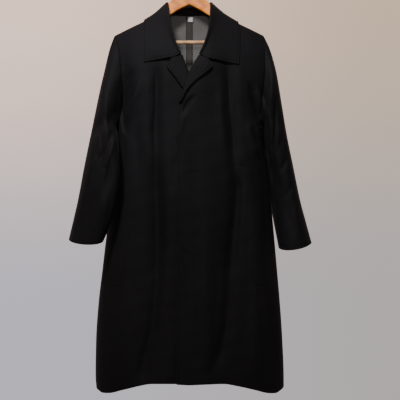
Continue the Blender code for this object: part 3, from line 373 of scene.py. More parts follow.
SLEEVE_CREASES = read_paths("""
    -193 -340 4 9 -0.5, -202 -369 4 9 -4.5, -211 -404 4 9 -5, -214 -440 4 7 -3, -214 -469 4 6 -0.5;
    -211 -352 9 6 0.5, -217 -393 9 6 3, -220 -434 9 6 3, -220 -469 9 6 1;
    -220 -434 9 9 -1, -223 -486 9 9 -4, -240 -533 9 9 -6, -261 -574 9 9 -6.5, -275 -609 9 9 -4.5,
    -290 -653 9 9 -1;
    -208 -451 9 6 1, -211 -504 9 7 4, -229 -551 9 7 4, -243 -586 9 7 2;
    -231 -568 6 7 -1, -234 -598 6 7 -4.5, -240 -633 6 8 -3, -249 -680 6 9 -1;
    -272 -475 9 9 -0.5, -278 -522 9 9 -3, -270 -563 7 7 -2;
    -284 -545 9 9 0.5, -290 -592 9 9 3, -299 -639 9 9 1;
    -296 -656 9 9 -0.5, -305 -709 9 9 -3.5, -314 -768 9 9 -1;
    -249 -656 7 9 0.5, -261 -709 9 9 3, -272 -774 9 9 1.5;
    -226 -662 6 9 -0.5, -234 -721 7 9 -3, -246 -785 9 9 -1;
    -267 -434 9 9 0.4, -252 -475 9 9 2.6, -237 -510 9 9 0.6;
    -322 -732 6 9 -0.4, -328 -768 6 9 -2, -334 -803 6 9 -0.5;
    255 -322 6 6 -1, 255 -369 6 6 -6, 255 -434 6 7 -7.5, 252 -498 6 7 -7.5, 246 -574 6 7 -7,
    246 -662 6 7 -5, 249 -732 7 7 -2;
    240 -340 6 6 0.5, 240 -398 6 6 2, 237 -445 6 6 1;
    275 -398 9 9 0.5, 272 -486 9 9 3, 267 -574 9 9 3, 270 -662 9 9 1;
    290 -434 7 9 -0.5, 281 -481 7 9 -3.5, 270 -522 7 9 -3, 258 -551 6 6 -0.8;
    305 -533 9 7 -0.5, 290 -568 9 7 -3.5, 272 -598 7 7 -3, 258 -615 6 6 -0.6;
    316 -609 9 7 -0.4, 302 -650 9 7 -2.6, 284 -680 7 7 -2, 267 -703 6 6 -0.5;
    308 -691 7 9 0.5, 316 -732 9 9 2.6, 325 -774 9 9 1;
    287 -709 9 7 -0.5, 296 -750 9 7 -2.8, 308 -791 9 7 -0.8;
    278 -352 7 9 -0.4, 275 -387 7 9 -2, 270 -416 7 9 -0.4
""")
BACK_CREASES = read_paths("""
    -108 -340 9 15 -1, -111 -428 9 18 -6, -114 -574 12 18 -6, -120 -750 12 18 -6, -126 -955 12 18 -5,
    -144 -1131 12 18 -3;
    114 -352 15 9 -1, 120 -457 18 9 -6, 126 -633 18 12 -6, 120 -838 18 12 -5, 108 -1014 18 12 -4,
    91 -1166 18 15 -2;
    -85 -545 12 15 0.5, -85 -721 12 15 2.6, -91 -926 12 15 2;
    91 -545 12 12 0.5, 94 -721 12 12 2.4, 85 -955 12 12 1.6;
    -179 -328 12 12 -1, -182 -398 15 12 -8, -185 -475 12 12 -5;
    179 -334 12 12 -1, 196 -398 12 15 -8, 214 -469 12 12 -5;
    -161 -469 9 12 -0.5, -152 -545 9 15 -3.5, -149 -662 9 15 -1;
    185 -481 9 9 -0.5, 179 -563 12 9 -3, 176 -662 12 9 -1;
    -3 -281 23 23 0.3, -3 -352 26 26 -2.6, -3 -457 23 23 -0.5;
    -208 -809 12 12 -0.3, -208 -984 12 15 -3, -214 -1178 12 15 -1;
    214 -809 12 12 -0.3, 217 -984 12 15 -3, 223 -1178 12 15 -1;
    44 -750 12 15 0.2, 47 -926 15 18 2.4, 50 -1131 12 18 1;
    -50 -779 12 15 0.2, -50 -955 15 18 2.2, -53 -1149 12 18 1
""")


def unit(vectors):
    """The same directions at length 1."""
    return vectors / np.linalg.norm(vectors, axis=-1, keepdims=True)

def eased(share):
    """Smooth step from 0 to 1."""
    share = np.clip(share, 0, 1)
    return share * share * (3 - 2 * share)

def linked(name, data):
    """A new object in the scene."""
    thing = bpy.data.objects.new(name, data)
    bpy.context.scene.collection.objects.link(thing)
    return thing

def smooth_curve(stations, values, at):
    """Cubic through the table's rows, with slopes limited so that it never overshoots a row."""
    s = np.asarray(stations, float)
    y = np.asarray(values, float)
    at = np.clip(np.asarray(at, float), s[0], s[-1])
    step = np.diff(s)
    rise = np.diff(y) / step
    slope = np.zeros(len(y))
    same = rise[:-1] * rise[1:] > 0
    before = 2 * step[1:] + step[:-1]
    after = step[1:] + 2 * step[:-1]
    mixed = (before + after) / (
        before / np.where(same, rise[:-1], 1) + after / np.where(same, rise[1:], 1)
    )
    slope[1:-1] = np.where(same, mixed, 0)
    slope[0] = rise[0]
    slope[-1] = rise[-1]
    k = np.clip(np.searchsorted(s, at, side="right") - 1, 0, len(step) - 1)
    t = (at - s[k]) / step[k]
    h = step[k]
    return (
        y[k] * (2 * t**3 - 3 * t**2 + 1)
        + slope[k] * h * (t**3 - 2 * t**2 + t)
        + y[k + 1] * (3 * t**2 - 2 * t**3)
        + slope[k + 1] * h * (t**3 - t**2)
    )


def body_size(name, z):
    return smooth_curve(BODY["z"], BODY[name], z)


def half_width(x, z):
    """Half width of the body at a height, blended from one side to the other near the centre."""
    share = np.clip(0.5 + x / SIDE_BLEND, 0, 1)
    return body_size("right", z) * (1 - share) + body_size("left", z) * share


def shoulder_z(x):
    """Height of the shoulder line, rounded over at the centre where the neck is cut away."""
    return SHOULDER_PEAK_Z - SHOULDER_SLOPE * (np.sqrt(x**2 + SHOULDER_CURVE**2) - SHOULDER_CURVE)


def fold_depth(x, z, folds):
    """Sum of the folds at points in front view."""
    total = np.zeros(np.shape(x))
    for *path, (half, depth) in folds:
        path = np.array(path)
        lengths = np.linalg.norm(np.diff(path, axis=0), axis=1)
        run = np.concatenate([[0], np.cumsum(lengths)]) / lengths.sum()
        best = np.full(np.shape(x), 1e9)
        along = np.zeros(np.shape(x))
        for k in range(len(path) - 1):
            edge = path[k + 1] - path[k]
            t = ((x - path[k, 0]) * edge[0] + (z - path[k, 1]) * edge[1]) / (edge @ edge)
            t = np.clip(t, -0.35 if k == 0 else 0, 1.35 if k == len(path) - 2 else 1)
            near = np.hypot(x - path[k, 0] - t * edge[0], z - path[k, 1] - t * edge[1])
            closer = near < best
            best = np.where(closer, near, best)
            along = np.where(closer, run[k] + t * (run[k + 1] - run[k]), along)
        ends = eased(np.clip((along + 0.2) / 0.4, 0, 1) * np.clip((1.2 - along) / 0.4, 0, 1))
        total = total + depth * ends * np.exp(-((best / half) ** 2))
    return total


def drape(x, below, folds=True):
    """Point of the drape surface: x, and height below the shoulder line, negative on the back."""
    x = np.asarray(x, float)
    below = np.asarray(below, float)
    x, below = np.broadcast_arrays(x, below)
    z = shoulder_z(x) - np.abs(below)
    front = below >= 0
    depth = np.where(front, body_size("front", z), body_size("back", z))
    share = np.clip(np.abs(x) / half_width(x, z), 0, 1)
    across = (1 - share**SECTION_POWER) ** (1 / SECTION_POWER)
    down = np.clip(np.abs(below) / SHOULDER_ROUND, 0, 1)
    closing = np.sqrt(1 - (1 - down) ** 2)
    out = depth * across * closing
    if folds:
        still = closing * np.clip(across * 3, 0, 1)
        out = out + still * np.where(front, fold_depth(x, z, FRONT_FOLDS), fold_depth(x, z, BACK_FOLDS))
    return np.stack([x, np.where(front, -out, out), z], axis=-1)


def grid_normals(grid, flip=1.0, ring=False):
    """Unit normals of a grid of points; the second way round closes on itself for a ring."""
    grid = np.asarray(grid)
    if ring:
        wide = np.concatenate([grid[:, -1:], grid, grid[:, :1]], axis=1)
        across = wide[:, 2:] - wide[:, :-2]
    else:
        across = np.gradient(grid, axis=1)
    along = np.gradient(grid, axis=0)
    normal = np.cross(along, across) * flip
    length = np.linalg.norm(normal, axis=-1, keepdims=True)
    return normal / np.maximum(length, 1e-12)


def outer_border(v, side, face):
    """Side seam then armhole: signed x and height at each v."""
    low = v < ARM_V
    z_low = HEM_SIDE_Z + (UNDERARM_Z - HEM_SIDE_Z) * np.clip(v / ARM_V, 0, 1)
    x_low = body_size(side, z_low)
    stations = (ARM_V, *ARMHOLE["v"])
    xs = (float(body_size(side, UNDERARM_Z)), *ARMHOLE[f"{face}_{side}"])
    zs = (UNDERARM_Z, *ARMHOLE["z"])
    x = np.where(low, x_low, smooth_curve(stations, xs, v))
    z = np.where(low, z_low, smooth_curve(stations, zs, v))
    return x * SIGN[side], z


def panel_rows():
    """Rows from the hem to the underarm, then closer and closer up to the shoulder seam."""
    low = np.linspace(0, ARM_V, LOW_ROWS, endpoint=False)
    t = np.linspace(0, 1, HIGH_ROWS)
    return np.concatenate([low, 1 - (1 - ARM_V) * (1 - t) ** ROW_POWER])


def hung(x, z, v, share, inner_x, side, face):
    """The panel with its hem's sag and, below the underarm, its last column on the side seam."""
    sag = smooth_curve(HEM["x"], HEM[face], np.abs(x[0])) - z[0]
    z = z + sag * np.clip(1 - v / HEM_FADE_V, 0, 1)[:, None] ** HEM_FADE_POWER
    outer = body_size(side, z) * SIGN[side]
    seam = inner_x[:, None] + (outer - inner_x[:, None]) * share
    return np.where(v[:, None] <= ARM_V, seam, x), z

def front_panel(side):
    v = panel_rows()
    inner_x = smooth_curve(FRONT_EDGE["v"], FRONT_EDGE[side + "_x"], v)
    inner_z = smooth_curve(FRONT_EDGE["v"], FRONT_EDGE[side + "_z"], v)
    outer_x, outer_z = outer_border(v, side, "front")
    u = np.linspace(0, 1, FRONT_COLUMNS)
    bend = np.clip((1 - v) / (1 - ARM_V), 0, 1)[:, None]
    share = np.sin(u * pi / 2)[None] * bend + u[None] * (1 - bend)
    x = inner_x[:, None] + (outer_x - inner_x)[:, None] * share
    z = inner_z[:, None] + (outer_z - inner_z)[:, None] * share
    x, z = hung(x, z, v, share, inner_x, side, "front")
    below = np.maximum(shoulder_z(x) - z, 0)
    below[-1] = 0
    grid = drape(x, below)
    if side == "left":
        grid[..., 1] -= front_step(grid[..., 0], grid[..., 2])
    return grid


def front_step(x, z):
    """How far the upper front lies in front of the lower one where they overlap."""
    across = eased((OVERLAP_TO_X - x) / (OVERLAP_TO_X - OVERLAP_FROM_X))
    return OVERLAP_STEP * across * eased((OVERLAP_TOP_Z - z) / OVERLAP_FADE)


def back_panel(side):
    v = panel_rows()
    outer_x, outer_z = outer_border(v, side, "back")
    inner_z = np.interp(v, (0, ARM_V, 1), (BACK_HEM_Z, BACK_ARM_Z, BACK_NECK_Z))
    u = np.linspace(0, 1, BACK_COLUMNS)
    bend = np.clip((1 - v) / (1 - ARM_V), 0, 1)[:, None]
    flat = np.interp(u, (0, BACK_NECK_SHARE, 1), (0, NECK_X / CORNER_X, 1))
    share = np.sin(u * pi / 2)[None] * bend + flat[None] * (1 - bend)
    x = outer_x[:, None] * share
    z = inner_z[:, None] + (outer_z - inner_z)[:, None] * share
    x, z = hung(x, z, v, share, 0 * v, side, "back")
    top = np.where(np.abs(x[-1]) < NECK_X - 0.001, BACK_NECK_Z, shoulder_z(x[-1]))
    lift = np.clip((v - ARM_V) / (1 - ARM_V), 0, 1)[:, None]
    z = z + (top - z[-1])[None] * lift
    below = np.maximum(shoulder_z(x) - z, 1e-7)
    below[-1] = np.where(np.abs(x[-1]) < NECK_X - 0.001, below[-1], 1e-7)
    return drape(x, -below)


def drape_out(x, below, lift):
    """Point a given distance outside the drape surface."""
    step = 0.0015
    x = np.asarray(x, float)
    below = np.asarray(below, float)
    down = drape(x, below + step, False) - drape(x, below - step, False)
    across = drape(x + step, below, False) - drape(x - step, below, False)
    return drape(x, below) + unit(np.cross(down, across)) * np.asarray(lift)[..., None]


def through(points, places):
    """Points on a smooth curve through control points; axis 0 runs over the controls.

    The places are shares of the way along it, or a number of evenly spaced points.
    """
    points = np.asarray(points, float)
    lengths = np.linalg.norm(np.diff(points, axis=0), axis=-1)
    while lengths.ndim > 1:
        lengths = lengths.mean(axis=-1)
    run = np.concatenate([[0], np.cumsum(lengths)]) / lengths.sum()
    at = np.linspace(0, 1, places) if isinstance(places, int) else np.asarray(places)
    flat = points.reshape(len(points), -1)
    made = np.stack([smooth_curve(run, flat[:, k], at) for k in range(flat.shape[1])], axis=1)
    return made.reshape((len(at),) + points.shape[1:])


def armhole_loop(front, front_normals, back, back_normals):
    """Evenly spaced points from the shoulder corner down the front and up the back, and their normals."""
    rows = [
        np.concatenate([grid[LOW_ROWS:, -1], normals[LOW_ROWS:, -1]], axis=1)
        for grid, normals in ((front, front_normals), (back, back_normals))
    ]
    loop = np.concatenate([rows[0][::-1], rows[1][1:-1], rows[0][-1:]])
    run = np.concatenate([[0], np.cumsum(np.linalg.norm(np.diff(loop[:, :3], axis=0), axis=1))])
    at = np.linspace(0, run[-1], SLEEVE_AROUND, endpoint=False)
    made = np.stack([np.interp(at, run, column) for column in loop.T], axis=1)
    return made[:, :3], made[:, 3:]


def sleeve_grid(table, drop, folds, loop):
    """Rings from the armhole to the cuff, and how much of its own shape each one has.

    Each ring is an oval round the line between the table's outer and inner points, spread straight to the
    front and the back. drop is how far the front and back of the cuff hang down.
    """
    count = len(loop)
    at = np.linspace(0, 1, SLEEVE_ALONG)
    size = {key: smooth_curve(table["at"], table[key], at) for key in table if key != "at"}
    outer, inner = (np.stack([size[f"{end}_{k}"] for k in "xyz"], axis=1) for end in ("outer", "inner"))
    middle = (outer + inner) / 2
    axis = np.gradient(middle, axis=0)
    spoke = outer - middle
    front = np.array([0.0, -1.0, 0.0])
    turn = np.linspace(0, 2 * pi, count, endpoint=False)
    grid = (
        middle[:, None]
        + spoke[:, None] * np.cos(turn)[None, :, None]
        + front * (size["half"][:, None] * np.sin(turn)[None])[..., None]
    )
    fade = (1 - eased(at / SET_IN))[:, None, None]
    grid = grid + (loop - grid[0])[None] * fade
    low = np.clip((at - CUFF_FROM) / (1 - CUFF_FROM), 0, 1)[:, None] ** 2
    share = np.sin(turn)[None]
    grid[..., 2] -= low * np.where(share > 0, drop[0], drop[1]) * np.abs(share)
    out = grid - middle[:, None]
    out -= axis[:, None] * np.sum(out * axis[:, None], axis=-1, keepdims=True) / np.sum(
        axis[:, None] ** 2, axis=-1, keepdims=True
    )
    out /= np.linalg.norm(out, axis=-1, keepdims=True)
    grid = grid + out * sleeve_folds(at[:, None], turn[None] / (2 * pi), folds)[..., None]
    return grid, (1 - fade[..., 0])


def sleeve_folds(at, turn, folds):
    """Folds given as paths of (place along, turn round), half width in metres and depth."""
    total = np.zeros(np.broadcast(at, turn).shape)
    for path, half, depth in folds:
        path = np.asarray(path, float)
        start, end = path[0], path[-1]
        way = (end - start) * (SLEEVE_LENGTH, SLEEVE_GIRTH)
        for shift in (-1, 0, 1):
            da = (at - start[0]) * SLEEVE_LENGTH
            dt = (turn + shift - start[1]) * SLEEVE_GIRTH
            along = (da * way[0] + dt * way[1]) / (way @ way)
            held = np.clip(along, -0.3, 1.3)
            near = np.hypot(da - held * way[0], dt - held * way[1])
            ends = np.clip((along + 0.3) / 0.5, 0, 1) * np.clip((1.3 - along) / 0.5, 0, 1)
            total = total + depth * ends * np.exp(-((near / half) ** 2))
    return total * eased((at - FOLDS_FROM) / FOLDS_FADE)


def collar_curves():
    """Neck seam, roll and leaf edge from the wearer's right gorge round the back to the left one."""
    spread = np.linspace(0, 1, len(COLLAR_SPREAD))
    half = np.interp(np.linspace(0, 1, COLLAR_ALONG), spread, COLLAR_SPREAD)
    along = np.concatenate([half - 1, 1 - half[-2::-1]])
    at = 1 - np.abs(along)
    sign = np.where(along < 0, -1.0, 1.0)
    mirrored = (*COLLAR["at"], *(2 - k for k in reversed(COLLAR["at"][:-1])))
    size = {}
    for key in COLLAR:
        turn = -1 if key.endswith("_x") else 1
        if key != "at":
            both = (*COLLAR[key], *(turn * k for k in reversed(COLLAR[key][:-1])))
            size[key] = smooth_curve(mirrored, both, at)
    for key, (shift, until, over) in COLLAR_RIGHT_SHIFT.items():
        size[key] = size[key] - shift * (along < 0) * np.clip((until - at) / over, 0, 1)
    roll = np.stack([sign * size["roll_x"], size["roll_y"], size["roll_z"]], axis=1)
    return at, sign * size["neck_x"], size["neck_h"], roll, sign * size["edge_x"], size["edge_h"]


def collar_grids():
    """The stand, from the neck seam up, and the leaf, from inside the roll over to its edge."""
    at, neck_x, neck_h, roll, edge_x, edge_h = collar_curves()
    neck = drape_out(neck_x, neck_h, 0 * neck_x)
    rise = unit(roll - neck)
    top = neck + (roll - neck) * STAND_SHARE
    radius = np.minimum(ROLL_RADIUS, 0.3 * np.linalg.norm(roll - neck, axis=1, keepdims=True))
    stand = through([neck + rise * STAND_FROM_SEAM, neck + (top - neck) * 0.5, top], STAND_ROWS)
    places = []
    at_gorge = np.clip(1 - at / 0.14, 0, 1) ** 2
    for share, lift, bow in LEAF_SECTION:
        x = neck_x + (edge_x - neck_x) * share
        h = neck_h + (edge_h - neck_h) * share + bow * at_gorge
        extra = front_step(x, shoulder_z(x) - np.abs(h)) * (h > 0) * (x > 0)
        places.append(drape_out(x, h, lift + extra))
    outward = grid_normals(stand)[-1]
    outward = unit(outward - rise * np.sum(outward * rise, axis=1, keepdims=True))
    inside = top + rise * LEAF_ABOVE_STAND - outward * COLLAR_CLOTH
    centre = roll + outward * (radius - COLLAR_CLOTH) - rise * radius
    over = [centre + radius * (rise * sin(turn) - outward * cos(turn)) for turn in ROLL_TURNS]
    return stand, through([inside, *over, *places], LEAF_PLACES)


def lapel_grid(side, table, spans):
    """The turned-back front edge: from the roll line, over, to the lapel's outer edge."""
    t = np.unique(np.concatenate([np.linspace(0, 1, LAPEL_ALONG), table["at"][1:4]]))
    v = spans[0] + (spans[1] - spans[0]) * t
    roll_x = smooth_curve(FRONT_EDGE["v"], FRONT_EDGE[side + "_x"], v)
    roll_z = smooth_curve(FRONT_EDGE["v"], FRONT_EDGE[side + "_z"], v)
    edge_x = np.interp(t, table["at"], table["edge_x"])
    edge_z = np.interp(t, table["at"], table["edge_z"])
    wide = np.hypot(edge_x - roll_x, edge_z - roll_z)
    way_x = (edge_x - roll_x) / wide
    way_z = (edge_z - roll_z) / wide
    section = (
        (0 * wide - 0.0008, 0.0004),
        (0 * wide - 0.0034, 0.0022),
        (0 * wide - 0.0006, 0.0050),
        (0.30 * wide + 0.001, 0.0072),
        (0.65 * wide, 0.0078),
        (wide, LAPEL_LIFT + 0.0030),
    )
    rows = []
    for run, lift in section:
        x = roll_x + way_x * run
        z = roll_z + way_z * run
        point = drape(x, shoulder_z(x) - z)
        if side == "left":
            point[..., 1] -= front_step(x, z)
        point[..., 1] -= lift
        rows.append(point)
    return through(rows, LAPEL_ACROSS)


def on_grid(grid, row, column):
    """Point of a grid between its rows and columns."""
    i = np.clip(np.floor(row).astype(int), 0, grid.shape[0] - 2)
    j = np.clip(np.floor(column).astype(int), 0, grid.shape[1] - 2)
    a = (row - i)[..., None]
    b = (column - j)[..., None]
    low = grid[i, j] * (1 - b) + grid[i, j + 1] * b
    high = grid[i + 1, j] * (1 - b) + grid[i + 1, j + 1] * b
    return low * (1 - a) + high * a


def hook_path():
    """Up the stem, aside and over the top in a round hook whose inner top is the origin."""
    centre = (0.0, WIRE_RADIUS - HOOK_RADIUS)
    path = [(0, 0, STEM_LOW_Z), (0, 0, -0.070), (0, 0, -0.058)]
    path += [(0.0045, 0, -0.0490), (0.0135, 0, -0.0400)]
    for turn in np.linspace(-0.55, pi + 0.35, 40):
        path.append((centre[0] + HOOK_RADIUS * cos(turn), 0, centre[1] + HOOK_RADIUS * sin(turn)))
    return through(path, HOOK_POINTS)


def seam_normals(fronts, backs):
    """Normals of the four body panels, equal on both sides of every seam."""
    made = {}
    for side, sign in SIGN.items():
        front = grid_normals(fronts[side], -sign)
        back = grid_normals(backs[side], sign)
        low = LOW_ROWS + 1
        front[:low, -1] = back[:low, -1] = unit(front[:low, -1] + back[:low, -1])
        up = np.array([SHOULDER_SLOPE * sign, 0, 1]) / np.hypot(SHOULDER_SLOPE, 1)
        front[-1] = up
        back[-1, np.abs(backs[side][-1, :, 0]) > NECK_X - 0.003] = up
        back[:, 0, 0] = 0
        back[:, 0] = unit(back[:, 0])
        made[side] = (front, back)
    return made


def in_picture(points):
    """Where points appear in the vertical plane through the origin, seen from the camera."""
    share = 1 / (1 + points[..., 1] / -CAMERA_AT[1])
    x = CAMERA_AT[0] + (points[..., 0] - CAMERA_AT[0]) * share
    z = CAMERA_AT[2] + (points[..., 2] - CAMERA_AT[2]) * share
    return x, z


def crease_depth(x, z, paths):
    """Sum of the creases: each has its own width on both sides and its own depth along its path."""
    total = np.zeros(x.shape)
    for path in paths:
        path = np.array(path)
        reach = 3.0 * path[:, 2:4].max()
        inside = (x > path[:, 0].min() - reach) & (x < path[:, 0].max() + reach)
        inside &= (z > path[:, 1].min() - reach) & (z < path[:, 1].max() + reach)
        px, pz = x[inside], z[inside]
        best = np.full(px.shape, 1e9)
        push = np.zeros(px.shape)
        for start, end in zip(path[:-1], path[1:]):
            edge = end[:2] - start[:2]
            t = np.clip(((px - start[0]) * edge[0] + (pz - start[1]) * edge[1]) / (edge @ edge), 0, 1)
            away_x = px - start[0] - t * edge[0]
            away_z = pz - start[1] - t * edge[1]
            away = np.hypot(away_x, away_z)
            before, after, height = (start[k] + t * (end[k] - start[k]) for k in (2, 3, 4))
            half = np.where(edge[0] * away_z - edge[1] * away_x > 0, after, before)
            here = height * np.exp(-((away / half) ** 2))
            push = np.where(away < best, here, push)
            best = np.minimum(best, away)
        total[inside] += push
    return total


def ripple(x, z, seed):
    """Soft unevenness of hung cloth, a few tenths of a millimetre high."""
    made = np.random.default_rng(seed)
    total = np.zeros(x.shape)
    for _ in range(RIPPLES):
        wave = made.uniform(*RIPPLE_LENGTHS)
        lean = made.normal(0, 0.5)
        phase = made.uniform(0, 2 * pi)
        total += RIPPLE_HEIGHT * wave * np.sin(2 * pi * (x * cos(lean) + z * sin(lean)) / wave + phase)
    return total


def creased(grid, normals, side, paths, seed, share=1.0):
    """The grid with its creases: side is -1 where it faces the camera and 1 on the back."""
    x, z = in_picture(grid) if side < 0 else (grid[..., 0], grid[..., 2])
    faces = eased(side * normals[..., 1] / FACING) * share
    grid = grid.copy()
    grid[..., 1] += side * faces * (crease_depth(x, z, paths) + ripple(x, z, seed))
    return grid


def wood_grid():
    """Rings round the hanger's wood from end to end, rounded at the edges."""
    top = [*WOOD_TOP]
    for x in np.linspace(0.088, 0.196, 9):
        top.append((x, float(shoulder_z(x)) - WOOD_UNDER_CLOTH))
    for x, drop in WOOD_END:
        top.append((x, float(shoulder_z(x)) - WOOD_UNDER_CLOTH - drop))
    low = WOOD_LOW[::-1]
    end = low[-1]
    top.append(end)
    x = end[0] * np.sin(np.linspace(-pi / 2, pi / 2, WOOD_STATIONS))
    upper, lower = (smooth_curve(*zip(*edge), np.abs(x)) for edge in (top, low))
    turn = np.linspace(0, 2 * pi, WOOD_AROUND, endpoint=False)
    middle, half = (upper + lower) / 2, np.maximum((upper - lower) / 2, 0.0006)
    blunt = np.clip(WOOD_EDGE / half, 0.25, 1)[:, None]
    up = np.sign(np.sin(turn)) * np.abs(np.sin(turn)) ** blunt
    deep = np.sign(np.cos(turn)) * np.abs(np.cos(turn)) ** 0.45
    thin = np.clip((end[0] - np.abs(x)) / 0.006, 0.05, 1) ** 0.5
    y = WOOD_HALF * thin[:, None] * deep[None]
    z = middle[:, None] + half[:, None] * up
    return np.stack([np.broadcast_to(x[:, None], y.shape), y, z], axis=-1)


def tube_grid(path, radius, sides):
    """Rings round a path that lies in the front plane."""
    path = np.asarray(path, float)
    way = np.gradient(path, axis=0)
    way /= np.linalg.norm(way, axis=1, keepdims=True)
    front = np.array([0.0, 1.0, 0.0])
    aside = np.cross(way, front)
    turn = np.linspace(0, 2 * pi, sides, endpoint=False)
    return path[:, None] + radius * (
        aside[:, None] * np.cos(turn)[None, :, None] + front * np.sin(turn)[None, :, None]
    )


def bar_grid():
    """Rings along the trouser bar, with eased ends."""
    x = BAR_HALF_LENGTH * np.sin(np.linspace(-pi / 2, pi / 2, BAR_STATIONS))
    turn = np.linspace(0, 2 * pi, BAR_AROUND, endpoint=False)
    radius = BAR_RADIUS * np.clip((BAR_HALF_LENGTH - np.abs(x)) / BAR_EASE, 0.3, 1)[:, None] ** 0.5
    y, z = radius * np.cos(turn), BAR_Z + radius * np.sin(turn)
    return np.stack([np.broadcast_to(x[:, None], y.shape), y, z], axis=-1)


def solid_rings(name, grid, look):
    """A closed body through rings of points, with flat ends."""
    rows, columns = grid.shape[:2]
    i, j = np.meshgrid(np.arange(rows - 1), np.arange(columns), indexing="ij")
    a = (i * columns + j).ravel()
    b = (i * columns + (j + 1) % columns).ravel()
    faces = np.stack([a, b, b + columns, a + columns], axis=1).tolist()
    faces.append(list(range(columns))[::-1])
    faces.append([(rows - 1) * columns + k for k in range(columns)])
    mesh = bpy.data.meshes.new(name)
    mesh.from_pydata(grid.reshape(-1, 3).tolist(), [], faces)
    mesh.materials.append(look)
    mesh.shade_smooth()
    mesh.set_sharp_from_angle(angle=radians(50))
    return linked(name, mesh)


def strips(grid):
    """Length across and along at every point of a grid, in metres, for the weave and the stitching."""
    across = np.linalg.norm(np.diff(grid, axis=1), axis=-1)
    along = np.linalg.norm(np.diff(grid, axis=0), axis=-1)
    across = np.concatenate([0 * across[:, :1], np.cumsum(across, axis=1)], axis=1)
    along = np.concatenate([0 * along[:1], np.cumsum(along, axis=0)], axis=0)
    return across, along


def border_distance(grid, ring):
    """Distance of every point from the low, top, start and end border of its grid, in metres."""
    across, along = strips(grid)
    far = np.full(across.shape, 1.0)
    return {
        "low": along,
        "top": along[-1:] - along,
        "start": far if ring else across,
        "end": far if ring else across[:, -1:] - across,
    }


def shell(name, grid, normals, thickness, looks, hems=(), seams=(), ring=False):
    """A closed thin shell on a grid: outer look, inner look; hems are stitched borders, seams joined ones."""
    grid, normals = grid.copy(), normals.copy()
    across, along = strips(grid)
    near = border_distance(grid, ring)
    hem = np.min([near[side] for side in hems], axis=0) if hems else np.full(across.shape, 1.0)
    seam = np.min([near[side] for side in seams], axis=0) if seams else np.full(across.shape, 1.0)
    grid = grid - normals * (SEAM_DIP * np.exp(-((seam / SEAM_REACH) ** 2)))[..., None]
    turned = np.cross(grid[1:, :-1] - grid[:-1, :-1], grid[:-1, 1:] - grid[:-1, :-1])
    if np.sum(turned * normals[:-1, :-1]) < 0:
        grid, normals = grid[:, ::-1], normals[:, ::-1]
        across, along, hem, seam = (a[:, ::-1] for a in (across, along, hem, seam))
    rows, columns = grid.shape[:2]
    inner = grid - normals * thickness
    points = np.concatenate([grid.reshape(-1, 3), inner.reshape(-1, 3)])
    back = rows * columns
    around = columns if ring else columns - 1
    i, j = np.meshgrid(np.arange(rows - 1), np.arange(around), indexing="ij")
    a = i * columns + j
    b = i * columns + (j + 1) % columns
    outer = np.stack([a, a + columns, b + columns, b], axis=-1).reshape(-1, 4)
    inside = np.stack([a, b, b + columns, a + columns], axis=-1).reshape(-1, 4) + back
    j = np.arange(around)
    k = (j + 1) % columns
    low = (rows - 1) * columns
    rims = [
        np.stack([j, k, back + k, back + j], axis=1),
        np.stack([low + k, low + j, back + low + j, back + low + k], axis=1),
    ]
    if not ring:
        i = np.arange(rows - 1) * columns
        rims.append(np.stack([i + columns, i, back + i, back + i + columns], axis=1))
        i = i + columns - 1
        rims.append(np.stack([i, i + columns, back + i + columns, back + i], axis=1))
    rim = np.concatenate(rims)
    faces = np.concatenate([outer, inside, rim])
    mesh = bpy.data.meshes.new(name)
    mesh.from_pydata(points.tolist(), [], faces.tolist())
    for look in looks:
        mesh.materials.append(look)
    index = np.zeros(len(faces), np.int32)
    allowance = seam[:-1, :around].ravel() < (ALLOWANCE if ring else 0.0)
    index[len(outer) : len(outer) + len(inside)] = np.where(allowance, 0, len(looks) - 1)
    mesh.polygons.foreach_set("material_index", index)
    flat = np.stack([across, along], axis=-1).reshape(-1, 2)
    flat = np.concatenate([flat, flat])
    loops = np.zeros(len(mesh.loops), np.int32)
    mesh.loops.foreach_get("vertex_index", loops)
    uv = mesh.uv_layers.new(name="cloth_metres")
    uv.data.foreach_set("uv", flat[loops].astype(np.float32).ravel())
    for label, values in (("hem", hem), ("seam", seam)):
        made = mesh.attributes.new(label, "FLOAT", "POINT")
        both = np.concatenate([values.ravel(), values.ravel()]).astype(np.float32)
        made.data.foreach_set("value", both)
    mesh.shade_smooth()
    mesh.set_sharp_from_angle(angle=radians(60))
    return linked(name, mesh)


